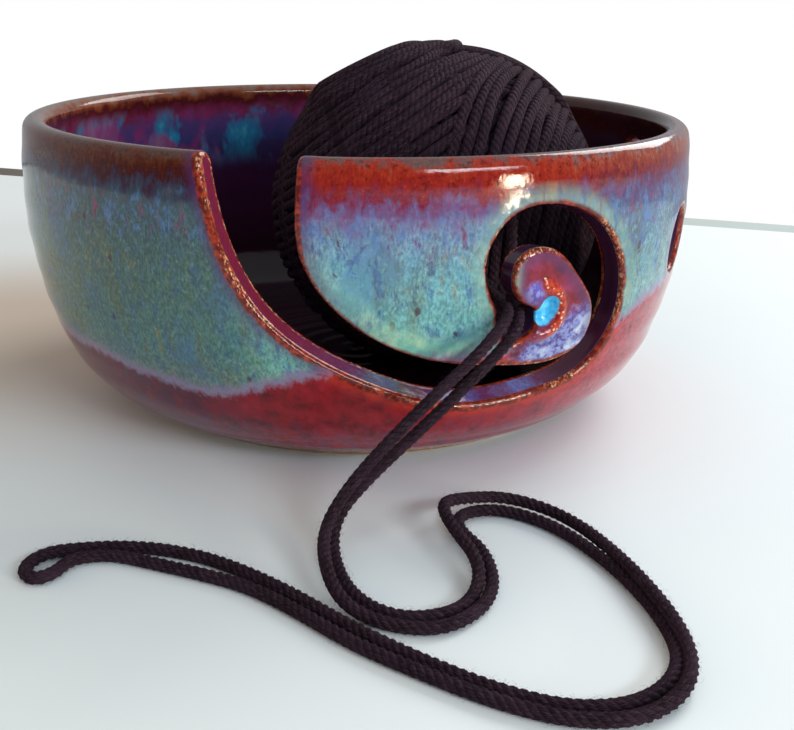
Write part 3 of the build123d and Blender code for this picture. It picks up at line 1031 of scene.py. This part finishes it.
# The yarn's free length from the ball out through the guide's throat, to the fold, and back.
YARN_ROUTE = [
    (0.012, -0.037, 0.06), (0.0155, -0.0425, 0.05), (0.02, -0.049, 0.0425), (0.024, -0.056, 0.0385),
    (0.028, -0.0675, 0.0375), (0.027, -0.075, 0.037), (0.0215, -0.0795, 0.032),
    (0.015, -0.082, 0.0265), (0.007, -0.0845, 0.019), (-0.0014, -0.0889, 0.011),
    (-0.0062, -0.0949, 0.005), (-0.0051, -0.1071, 0.0035), (-0.0017, -0.1143, 0.002),
    (0.0052, -0.1184, LAID), (0.0144, -0.1191, LAID), (0.0223, -0.1101, LAID),
    (0.0225, -0.097, 0.0015), (0.0175, -0.088, 0.002), (0.0195, -0.0815, 0.0015),
    (0.0275, -0.0795, LAID), (0.037, -0.087, LAID), (0.0445, -0.1025, LAID), (0.048, -0.118, LAID),
    (0.047, -0.13, 0.0018), (0.04, -0.137, LAID), (0.03, -0.1385, LAID), (0.02, -0.1345, LAID),
    (0.009, -0.1268, LAID), (-0.001, -0.1185, LAID), (-0.012, -0.1074, LAID),
    (-0.0235, -0.0985, LAID), (-0.033, -0.0945, LAID), (-0.0415, -0.0934, LAID),
    (-0.0485, -0.0942, LAID), (-0.0529, -0.0953, LAID), (-0.0554, -0.0984, LAID),
    (-0.0556, -0.102, LAID), (-0.053, -0.1043, LAID), (-0.0503, -0.1023, LAID),
    (-0.049, -0.0983, LAID), (-0.0465, -0.0968, LAID), (-0.0415, -0.0963, LAID),
    (-0.0345, -0.0992, LAID), (-0.0262, -0.1026, LAID), (-0.0185, -0.1062, LAID),
    (-0.0105, -0.1128, LAID), (-0.001, -0.1225, LAID), (0.0096, -0.1302, LAID),
    (0.0199, -0.137, LAID), (0.0304, -0.1411, LAID), (0.0404, -0.1399, LAID),
    (0.0477, -0.1334, 0.0022), (0.0493, -0.1221, 0.003), (0.0458, -0.1028, 0.0028),
    (0.0394, -0.0842, 0.0018), (0.029, -0.077, 0.0025), (0.0195, -0.0805, 0.004),
    (0.015, -0.0845, 0.005), (0.0165, -0.0925, 0.0045), (0.0205, -0.102, 0.0032),
    (0.0195, -0.109, LAID), (0.015, -0.115, LAID), (0.0063, -0.1171, 0.0016), (-0.001, -0.11, LAID),
    (-0.0045, -0.097, LAID), (-0.004, -0.0885, 0.0045), (0.0025, -0.084, 0.0105),
    (0.0115, -0.0815, 0.0185), (0.0195, -0.0785, 0.0255), (0.0285, -0.075, 0.034),
    (0.0305, -0.067, 0.0355), (0.031, -0.054, 0.0375), (0.031, -0.049, 0.043),
    (0.0315, -0.043, 0.0505), (0.0305, -0.036, 0.06),
]


# The middle of the ball, which its loose fibres point away from.
BALL_MIDDLE = (0.0185, 0.0, 0.0427)


def geometry_tree(name, **inputs):
    """A new geometry tree, the recipe that fills it, and its inputs by name."""
    kinds = {float: "Float", int: "Int", bool: "Bool", type(None): "Material"}
    tree = bpy.data.node_groups.new(name, "GeometryNodeTree")
    add_socket = tree.interface.new_socket
    add_socket("Geometry", in_out="INPUT", socket_type="NodeSocketGeometry")
    for key, value in inputs.items():
        title = key.replace("_", " ").title()
        socket = add_socket(title, in_out="INPUT", socket_type=f"NodeSocket{kinds[type(value)]}")
        if value is not None:
            socket.default_value = value
    add_socket("Geometry", in_out="OUTPUT", socket_type="NodeSocketGeometry")
    g = Graph(tree)
    given = {socket.name: Value(g, socket) for socket in g.node("NodeGroupInput").outputs}
    return tree, g, given


def plied_yarn_tree():
    """Geometry tree: a curve becomes plied yarn of round singles twisted about each other."""
    tree, g, given = geometry_tree("plied_yarn", radius=0.00115, pitch=0.007, spacing=0.001, groove=0.4,
                                   unevenness=0.1, plies=3, sides=15, material=None)
    even = g.node("GeometryNodeResampleCurve", {"Curve": given["Geometry"], "Length": given["Spacing"]},
                  mode="LENGTH")
    along = g.add("GeometryNodeSplineParameter", output="Length")
    twist = along * FULL_TURN / given["Pitch"]
    turned = g.node("GeometryNodeSetCurveTilt", {"Curve": even, "Tilt": twist})
    place = g.add("GeometryNodeInputPosition")
    lumps = (g.noise(place, 170.0, 2.0) - 0.5) * given["Unevenness"]
    uneven = g.node("GeometryNodeSetCurveRadius", {"Curve": turned, "Radius": lumps.onto(1.0, 2.0)})
    kept = named(g, uneven, "along", along)
    marked = g.node("GeometryNodeCurvePrimitiveCircle", {"Resolution": given["Sides"], "Radius": 1.0},
                    mode="RADIUS")
    x, y, _ = g.split(place)
    crown = g.math("ABSOLUTE", g.math("COSINE", g.math("ARCTAN2", y, x) * given["Plies"] * 0.5))
    size = (1.0 - given["Groove"] + crown * given["Groove"]) * given["Radius"]
    for name, value in (("round_x", x), ("round_y", y)):
        marked = named(g, marked, name, value)
    shaped = g.vector("SCALE", place, {"Scale": size})
    lobes = g.node("GeometryNodeSetPosition", {"Geometry": marked, "Position": shaped})
    body = g.node("GeometryNodeCurveToMesh", {"Curve": kept, "Profile Curve": lobes, "Fill Caps": True})
    soft = g.node("GeometryNodeSetShadeSmooth", {"Geometry": body})
    dress(g, g.node("GeometryNodeRealizeInstances", {"Geometry": soft}), given)
    return tree


def named(g, geometry, name, value):
    """The geometry with a value stored on its points."""
    inputs = {"Geometry": geometry, "Name": name, "Value": value}
    return g.node("GeometryNodeStoreNamedAttribute", inputs, data_type="FLOAT", domain="POINT")


def dress(g, geometry, given):
    """End of a tree: the geometry gets its material and goes out."""
    done = g.node("GeometryNodeSetMaterial", {"Geometry": geometry, "Material": given["Material"]})
    g.node("NodeGroupOutput", {"Geometry": done})


def fuzz_tree():
    """Geometry tree: short loose fibres standing off the surface of the yarn."""
    tree, g, given = geometry_tree("loose_fibres", per_square_metre=1.0e6, fibre_length=0.0025, seed=7,
                                   only_outward=False, material=None)
    place, facing = g.add("GeometryNodeInputPosition"), g.add("GeometryNodeInputNormal")
    outward = g.vector("NORMALIZE", g.vector("SUBTRACT", place, {1: BALL_MIDDLE}), {})
    turned = g.vector("DOT_PRODUCT", outward, {1: facing}, "Value")
    shown = g.add("FunctionNodeCompare", {0: turned, 1: 0.45}, data_type="FLOAT",
                  operation="GREATER_THAN")
    anywhere = g.add("FunctionNodeBooleanMath", {0: given["Only Outward"]}, operation="NOT")
    chosen = g.add("FunctionNodeBooleanMath", {0: shown, 1: anywhere}, operation="OR")
    roots = g.node("GeometryNodeDistributePointsOnFaces", {
        "Mesh": given["Geometry"], "Selection": chosen, "Density": given["Per Square Metre"],
        "Seed": given["Seed"]})
    bent = g.node("GeometryNodeCurvePrimitiveBezierSegment", {
        "Resolution": 3, "Start": (0, 0, 0), "Start Handle": (0, 0, 0.55),
        "End Handle": (0.55, 0.1, 0.75), "End": (1.0, 0.25, 0.55)})
    ring = g.node("GeometryNodeCurvePrimitiveCircle", {"Resolution": 3, "Radius": 0.010}, mode="RADIUS")
    hair = g.node("GeometryNodeCurveToMesh", {"Curve": bent, "Profile Curve": ring, "Fill Caps": True})
    spin = g.add("FunctionNodeRandomValue", {2: 0.0, 3: FULL_TURN, "Seed": given["Seed"]}, 1,
                 data_type="FLOAT")
    lean = g.node("FunctionNodeRotateRotation", {
        "Rotation": roots.outputs["Rotation"],
        "Rotate By": g.node("FunctionNodeAxisAngleToRotation", {"Axis": (0, 0, 1), "Angle": spin})},
        rotation_space="LOCAL")
    size = g.add("FunctionNodeRandomValue", {2: 0.35, 3: 1.15, "Seed": 11}, 1, data_type="FLOAT")
    many = g.node("GeometryNodeInstanceOnPoints", {
        "Points": roots, "Instance": hair, "Rotation": lean, "Scale": size * given["Fibre Length"]})
    real = g.node("GeometryNodeRealizeInstances", {"Geometry": many})
    x, y, z = g.split(g.node("GeometryNodeInputPosition"))
    raised = g.node("CombineXYZ", {0: x, 1: y, 2: g.math("MAXIMUM", z, 0.00005)})
    above = g.node("GeometryNodeSetPosition", {"Geometry": real, "Position": raised})
    dress(g, above, given)
    return tree


def as_mesh(source, name):
    """The plain mesh that an object's curve or modifiers make."""
    bpy.context.view_layer.update()
    seen = source.evaluated_get(bpy.context.evaluated_depsgraph_get())
    mesh = bpy.data.meshes.new_from_object(seen)
    mesh.name = name
    return mesh


def grown(source, tree, name, **inputs):
    """The plain mesh object that a geometry tree makes from a source object."""
    modifier = source.modifiers.new(tree.name, "NODES")
    modifier.node_group = tree
    for item in tree.interface.items_tree:
        key = item.name.lower().replace(" ", "_")
        if item.in_out == "INPUT" and key in inputs:
            modifier[item.identifier] = inputs[key]
    mesh = as_mesh(source, name)
    source.modifiers.remove(modifier)
    return linked(name, mesh)


def curve_object(name, kind, lines):
    """A curve object of one line or closed loop for each list of points."""
    data = bpy.data.curves.new(name, "CURVE")
    data.dimensions = "3D"
    for points, closed in lines:
        spline = data.splines.new(kind)
        spline.points.add(len(points) - 1)
        flat = np.ones((len(points), 4))
        flat[:, :3] = points
        spline.points.foreach_set("co", flat.ravel())
        spline.use_cyclic_u = closed
    return linked(name, data)


def smooth_route(route):
    """Points along the NURBS spline of a route, evenly close together."""
    guide = curve_object("yarn_route", "NURBS", [(route, False)])
    spline = guide.data.splines[0]
    spline.order_u = 3
    spline.use_endpoint_u = True
    spline.resolution_u = 12
    points = np.array([v.co for v in as_mesh(guide, "yarn_route").vertices])
    bpy.data.objects.remove(guide)
    return points


def make_wool(c, name, ply_twist, untwist):
    """Dark wool: fine fibres, plies at a slant, dull sheen, and painted shade in the grooves. The twists
    are in radians for each millimetre: of the plies over the mesh, and of the mesh itself."""
    material, g, shader = new_material(name, c.wool, 0.9)
    along = g.attribute("along") * 1000.0
    angle = g.math("ARCTAN2", g.attribute("round_y"), g.attribute("round_x"))
    crown = g.math("ABSOLUTE", g.math("COSINE", along.onto(angle, ply_twist) * (0.5 * c.plies)))
    fixed = along.onto(angle, untwist)
    strand = g.add("CombineXYZ", {0: g.math("COSINE", fixed) * 1.6, 1: g.math("SINE", fixed) * 1.6,
                                  2: along * 0.22})
    fibres = g.noise(strand, 3.4, 4.0, 0.72)
    tone = fibres.ramp((0.30, 22, 13, 20), (0.48, c.wool), (0.70, c.wool_light))
    # Painted shade in the grooves between the plies.
    tone = tone.under(crown.rise(0.55, 0.0, 0.0, 0.7), (11, 7, 10))
    tone = tone.under(g.noise(g.place(), 140.0, 3.0).rise(0.45, 0.65, 0.0, 0.3), (66, 46, 60))
    relief = crown.onto(fibres, 0.8 if ply_twist else 0.0)
    g.feed(shader, {"Base Color": tone, "Normal": g.bump(relief, 0.9, 0.0004), "Roughness": 0.9,
                    "Sheen Weight": 0.07, "Sheen Roughness": 0.5, "Sheen Tint": rgba((190, 140, 176)),
                    "Specular IOR Level": 0.1})
    return material


def make_fibre(c):
    """Single loose fibres, lighter than the yarn because light passes through them."""
    material, g, shader = new_material("loose_fibre", c.wool_light, 0.9)
    tone = g.noise(g.place(), 500.0, 1.0).ramp((0.35, 38, 24, 35), (0.7, 78, 54, 72))
    g.feed(shader, {"Base Color": tone, "Roughness": 0.8, "Specular IOR Level": 0.2})
    return material


# --------------------------------------------------------------------------- ball windings

STEEP_AXIS = (0.937, -0.286, -0.145)
# Bundles of wraps: name, the axis that they turn about, the lowest and highest latitude about
# it, how far they stand above the ball's own surface in millimetres, and the sides of a strand.
BUNDLES = [
    ("under", (0.60, 0.62, 0.50), -1.30, 1.30, -2.6, 9),
    ("slanting", (-0.542, 0.148, 0.82), -0.62, 1.26, -0.1, 12),
    ("low", (-0.30, 0.85, -0.42), -1.00, 0.60, -1.3, 9),
    ("steep", STEEP_AXIS, 0.20, 1.10, 0.0, 12),
    ("edge", (0.054, -0.953, 0.348), 0.30, 0.40, 1.0, 12),
    ("crown", (-0.46, 0.30, 0.84), 0.96, 1.12, 1.3, 12),
]
# A pitch so long that the mesh of a strand has no twist: in the ball, the material draws the plies.
UNTWISTED = 1000.0
WRAP_POINTS = 126
WRAP_SPACING = 1.86
WRAP_SEED = 40
FUZZ_SEED = 9
# The latitude that no wrap goes beyond, where it would turn on the spot.
NEAREST_POLE = 1.42
# Heights between which a wrap may begin to stand above the ball's own shape, in millimetres.
LIP_BAND = (64.0, 76.0)
# How deep the core lies under the ball's surface, and how far above its flat underside.
CORE_DEPTH = 0.0048
CORE_CLEAR = 0.0004


class Ball:
    """The ball's own outer shape: all points at one distance from a small level ring."""

    def __init__(self):
        low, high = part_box("yarn_ball")
        self.ring = 0.0022
        self.bottom = low.z
        self.reach = (high.x - low.x) / 2 - self.ring
        self.centre = np.array([(low.x + high.x) / 2, (low.y + high.y) / 2, high.z - self.reach])

    def surface(self, direction, rise, clear):
        """Points where the surface faces a direction, raised by a height, and as far above the
        ball's flat underside as they have to be clear of it."""
        flat = direction * np.array([1, 1, 0])
        flat /= np.maximum(np.linalg.norm(flat, axis=1), 1e-6)[:, None]
        points = self.centre + flat * self.ring + direction * (self.reach + np.asarray(rise)[:, None])
        points[:, 2] = np.maximum(points[:, 2], self.bottom + clear)
        return points


def bundle_lines(ball, bundle, radius, seed):
    """Closed wraps side by side about one axis, in loose groups, uneven in place and height."""
    name, axis, low, high, rise, _ = bundle
    to_world = np.array(Vector(axis).normalized().to_track_quat("Z", "Y").to_matrix()).T
    steep = np.array(Vector(STEEP_AXIS).normalized())
    rng = np.random.default_rng(seed)
    spacing = WRAP_SPACING * radius / ball.reach
    phase = rng.uniform(0, FULL_TURN, 6)
    angle = np.linspace(0, FULL_TURN, WRAP_POINTS, endpoint=False)

    def wave(size, count, start):
        return size * np.sin(count * angle + start)

    latitude, lines = low, []
    while latitude < high:
        group_rise = rng.uniform(-0.55, 0.35)
        for _ in range(rng.integers(2, 5)):
            sway = wave(0.030, 1, phase[0] + 0.25 * latitude) + wave(0.018, 2, phase[1] + latitude)
            own = wave(0.010, 3, rng.uniform(0, 6)) + wave(0.006, 7, rng.uniform(0, 6))
            turn_at = np.clip(latitude + sway + own, -NEAREST_POLE, NEAREST_POLE)
            local = np.stack([np.cos(turn_at) * np.cos(angle), np.cos(turn_at) * np.sin(angle),
                              np.sin(turn_at)], axis=1)
            world = local @ to_world
            lift = rise + group_rise + wave(0.30, 2, rng.uniform(0, 6))
            lift = lift + wave(0.15, 5, rng.uniform(0, 6))
            if name == "slanting":
                lift = lift - 2.2 * ease(world @ steep, 0.10, 0.34)
            height = (ball.centre[2] + world[:, 2] * ball.reach) / MM
            lift = np.minimum(lift, -0.25 + 3.0 * ease(height, *LIP_BAND))
            lines.append((ball.surface(world, lift * MM - radius, radius), True))
            latitude += spacing * rng.uniform(0.96, 1.10)
        latitude += spacing * rng.uniform(0.05, 0.35)
    return lines


def ball_core(ball):
    """What shows between the wraps: the older layers of the ball, as one dark lumpy body."""
    work = bmesh.new()
    bmesh.ops.create_icosphere(work, subdivisions=5, radius=1.0)
    for vertex in work.verts:
        direction = np.array([vertex.co.normalized()])
        rise = 0.0006 * noise.noise(vertex.co * 6.0) - CORE_DEPTH
        vertex.co = ball.surface(direction, np.array([rise]), CORE_CLEAR)[0]
    mesh = bpy.data.meshes.new("ball_core")
    work.to_mesh(mesh)
    work.free()
    mesh.shade_smooth()
    return linked("ball_core", mesh)


# --------------------------------------------------------------------------- operators


def wool_kit(settings):
    """The trees for yarn and for loose fibres and the fibres' material, each made only once."""
    trees = bpy.data.node_groups
    return (trees.get("plied_yarn") or plied_yarn_tree(), trees.get("loose_fibres") or fuzz_tree(),
            bpy.data.materials.get("loose_fibre") or make_fibre(settings))


class YARNBOWL_OT_bowl(bpy.types.Operator):
    """Throw the bowl, cut its yarn guide and needle holes, and glaze it"""
    bl_idname = "yarnbowl.bowl"
    bl_label = "Glazed bowl"

    def execute(self, context):
        settings = context.scene.yarn_bowl
        bowl = build_bowl(settings)
        bowl.data.materials.append(make_glaze(settings))
        bowl.data.materials.append(make_clay(settings))
        for face in bowl.data.polygons:
            middle = face.center / MM
            if middle.z < BARE_HEIGHT and math.hypot(middle.x, middle.y) < BARE_RADIUS:
                face.material_index = 1
        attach(bowl, "bowl")
        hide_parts("bowl")
        return {"FINISHED"}


class YARNBOWL_OT_yarn_end(bpy.types.Operator):
    """Lay the yarn's free end out through the guide and in a fold on the table"""
    bl_idname = "yarnbowl.yarn_end"
    bl_label = "Yarn end"

    def execute(self, context):
        settings = context.scene.yarn_bowl_wool
        points = smooth_route(YARN_ROUTE)
        source = curve_object("yarn_end_line", "POLY", [(points, False)])
        twist = FULL_TURN / (settings.ply_pitch / MM)
        wool = make_wool(settings, "aubergine_wool", ply_twist=0.0, untwist=twist)
        strand, hairs, fibre = wool_kit(settings)
        yarn = grown(source, strand, "yarn_end", radius=1.05 * settings.diameter / 2,
                     pitch=settings.ply_pitch, spacing=0.0007, groove=0.25, unevenness=0.16,
                     plies=settings.plies, sides=20, material=wool)
        fuzz = grown(yarn, hairs, "yarn_end_fuzz", per_square_metre=1.5e6,
                     fibre_length=settings.fuzz_length, seed=5, material=fibre)
        bpy.data.objects.remove(source)
        for piece in (yarn, fuzz):
            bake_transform(piece)
        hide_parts("yarn_lead_out", "yarn_lead_back", "yarn_tail")
        return {"FINISHED"}


class YARNBOWL_OT_ball(bpy.types.Operator):
    """Wind the ball of yarn in crossing bundles"""
    bl_idname = "yarnbowl.ball"
    bl_label = "Ball of yarn"

    def execute(self, context):
        settings = context.scene.yarn_bowl_wool
        twist = FULL_TURN / (settings.ply_pitch / MM)
        wool = make_wool(settings, "wound_wool", ply_twist=twist, untwist=0.0)
        strand, hairs, fibre = wool_kit(settings)
        ball = Ball()
        radius = settings.loft * settings.diameter / 2
        for turn_number, bundle in enumerate(BUNDLES):
            name, sides = bundle[0], bundle[5]
            lines = bundle_lines(ball, bundle, radius, WRAP_SEED + turn_number)
            source = curve_object(f"{name}_lines", "POLY", lines)
            wraps = grown(source, strand, f"ball_wraps_{name}", radius=radius, pitch=UNTWISTED,
                          spacing=0.002, groove=0.0, unevenness=0.34, plies=settings.plies,
                          sides=sides, material=wool)
            bpy.data.objects.remove(source)
            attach(wraps, "yarn_ball")
            if name == "slanting":
                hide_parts("yarn_ball")
            if name in ("slanting", "steep"):
                fuzz = grown(wraps, hairs, f"ball_fuzz_{name}", per_square_metre=5.0e5,
                             only_outward=True, fibre_length=settings.fuzz_length,
                             seed=FUZZ_SEED + turn_number, material=fibre)
                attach(fuzz, "yarn_ball")
        core = ball_core(ball)
        core.data.materials.append(wool)
        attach(core, "yarn_ball")
        return {"FINISHED"}


class YARNBOWL_OT_stage(bpy.types.Operator):
    """Set the pale table, the soft light and the camera"""
    bl_idname = "yarnbowl.stage"
    bl_label = "Table, light and camera"

    def execute(self, context):
        settings = context.scene.yarn_bowl_stage
        context.scene.view_settings.view_transform = "Standard"
        make_table(settings)
        make_table_edge()
        make_room(context.scene, settings)
        for lamp in (
            ("key_light", settings.key_power,
             (0.66, 0.62, 0.66), (0.0, -0.02, 0.0), (0.6, 0.6), (1.0, 0.99, 0.97)),
            ("front_light", settings.front_power,
             (0.55, -0.75, 0.45), (0.0, -0.02, 0.03), (0.5, 0.14), (0.84, 0.93, 1.0)),
            ("window", settings.window_power,
             (0.752, -0.68, 0.105), (0.0, -0.03, 0.055), (0.12, 0.18), (1.0, 0.90, 0.66)),
            ("warm_bounce", settings.bounce_power,
             (-0.75, 0.05, 0.22), (-0.05, -0.02, 0.0), (0.5, 0.3), (1.0, 0.66, 0.36)),
        ):
            area_light(*lamp)
        bpy.data.objects["warm_bounce"].visible_glossy = False
        context.scene.camera = make_camera(settings.lens)
        return {"FINISHED"}


def area_light(name, power, place, aim, size, tint):
    """A soft rectangular light at a place, turned to what it aims at."""
    light = bpy.data.lights.new(name, "AREA")
    light.shape = "RECTANGLE"
    light.size, light.size_y = size
    light.energy = power
    light.color = tint
    lamp = linked(name, light)
    lamp.location = place
    lamp.rotation_euler = (Vector(aim) - Vector(place)).to_track_quat("-Z", "Y").to_euler()


def make_camera(lens):
    """The camera in front of the bowl and a little above it, looking down."""
    camera = bpy.data.cameras.new("camera")
    camera.lens = lens
    camera.sensor_width = 36.0
    camera.clip_start = 0.01
    eye = linked("camera", camera)
    right, up = Vector((0.99933, -0.03312, 0.01587)), Vector((-0.00379, 0.33681, 0.94156))
    back = right.cross(up).normalized()
    turned = Matrix((right, back.cross(right).normalized(), back)).transposed().to_4x4()
    eye.matrix_world = Matrix.Translation((0, -0.2564, 0.0932)) @ turned
    return eye


TABLE_NEAR = ((-1.2, -1.2, 0), (1.2, -1.2, 0))
# The table's far edge, which runs a little askew behind the bowl, and the far side of a flat strip
# behind it that carries the painted shade of its rounding.
TABLE_FAR = ((1.2, -0.17, 0), (-1.2, 0.633, 0))
ROUNDING_FAR = ((1.2, -0.164, 0), (-1.2, 0.663, 0))


def flat_piece(name, corners, material):
    """One flat four-cornered piece of the stage."""
    mesh = bpy.data.meshes.new(name)
    mesh.from_pydata(corners, [], [(0, 1, 2, 3)])
    mesh.materials.append(material)
    return linked(name, mesh)


def make_table(settings):
    """Pale table top, with a warm painted shade on it to the left of the bowl."""
    material, g, shader = new_material("pale_table", settings.floor, 0.6)
    place = g.place()
    tone = g.mix(g.noise(place, 30.0, 3.0) * 0.12, settings.floor, (214, 226, 232))
    away = g.vector("DISTANCE", place, {1: (-0.10, 0.035, 0.0)}, "Value")
    # Painted shade: a warm, darker wash round a point to the left of the bowl.
    tone = tone.under(away.rise(0.11, 0.02, 0.0, 0.8), (200, 178, 156))
    g.feed(shader, {"Base Color": tone, "Roughness": 0.6})
    return flat_piece("table_top", (*TABLE_NEAR, *TABLE_FAR), material)


def make_table_edge():
    """Painted shade of the table's rounded far edge on a flat strip, darkest on the left and fading
    towards the light.
    """
    material, g, shader = new_material("edge_shade", (120, 112, 98), 0.7)
    place = g.place()
    # Painted shade: dark on the left, pale towards the light on the right.
    tone = g.mix(g.split(place)[0].rise(-0.22, 0.16), (92, 84, 74), (186, 200, 198))
    tone = tone.under(g.noise(place, 40.0, 2.0) * 0.2, (150, 140, 126))
    g.feed(shader, {"Base Color": tone, "Roughness": 0.7})
    return flat_piece("table_edge", (*TABLE_FAR[::-1], *ROUNDING_FAR), material)


def make_room(scene, settings):
    """Light from all round: a white wall behind, and a dimmer room on the viewer's side."""
    world = bpy.data.worlds.new("room")
    scene.world = world
    world.use_nodes = True
    world.node_tree.nodes.clear()
    g = Graph(world.node_tree)
    x, y, z = g.split(g.add("TexCoord", output="Generated"))
    path = g.node("LightPath").outputs
    tint = g.mix(x.rise(-0.9, 0.2), Color((0.70, 0.58, 0.47)), Color((0.92, 0.98, 1.0)))
    glossy = path["Is Glossy Ray"]
    viewer_side = g.mix(glossy, Color((0.64, 0.73, 0.90)), Color((0.09, 0.09, 0.10)))
    behind = g.mix(glossy, tint, Color((0.74, 0.76, 0.80)))
    tone = viewer_side.under(z.onto(y, 0.6).rise(-0.55, 0.35), behind)
    lit = g.node("Background", {"Color": tone, "Strength": settings.room_light})
    seen = g.node("Background", {"Color": (1.0, 1.0, 1.0, 1.0), "Strength": 1.0})
    both = g.node("MixShader", {0: path["Is Camera Ray"], 1: lit, 2: seen})
    g.node("OutputWorld", {"Surface": both})


class YARNBOWL_PT_panel(bpy.types.Panel):
    """Sizes, colours and steps of the yarn bowl"""
    bl_idname = "YARNBOWL_PT_panel"
    bl_label = "Yarn bowl"
    bl_space_type = "VIEW_3D"
    bl_region_type = "UI"
    bl_category = "Yarn bowl"

    def draw(self, context):
        for name in ("yarn_bowl", "yarn_bowl_wool", "yarn_bowl_stage"):
            group = getattr(context.scene, name)
            box = self.layout.box()
            for key in group.__annotations__:
                box.prop(group, key)
        for operator in OPERATORS:
            self.layout.operator(operator.bl_idname)


OPERATORS = (YARNBOWL_OT_stage, YARNBOWL_OT_yarn_end, YARNBOWL_OT_bowl, YARNBOWL_OT_ball)
CLASSES = (BowlSettings, YarnSettings, StageSettings, *OPERATORS, YARNBOWL_PT_panel)


def register():
    for item in CLASSES:
        bpy.utils.register_class(item)
    bpy.types.Scene.yarn_bowl = PointerProperty(type=BowlSettings)
    bpy.types.Scene.yarn_bowl_wool = PointerProperty(type=YarnSettings)
    bpy.types.Scene.yarn_bowl_stage = PointerProperty(type=StageSettings)


def unregister():
    del bpy.types.Scene.yarn_bowl_stage
    del bpy.types.Scene.yarn_bowl_wool
    del bpy.types.Scene.yarn_bowl
    for item in reversed(CLASSES):
        bpy.utils.unregister_class(item)


def main():
    register()
    bpy.ops.yarnbowl.stage()
    bpy.ops.yarnbowl.yarn_end()
    bpy.ops.yarnbowl.bowl()
    bpy.ops.yarnbowl.ball()


if __name__ == "__main__":
    main()
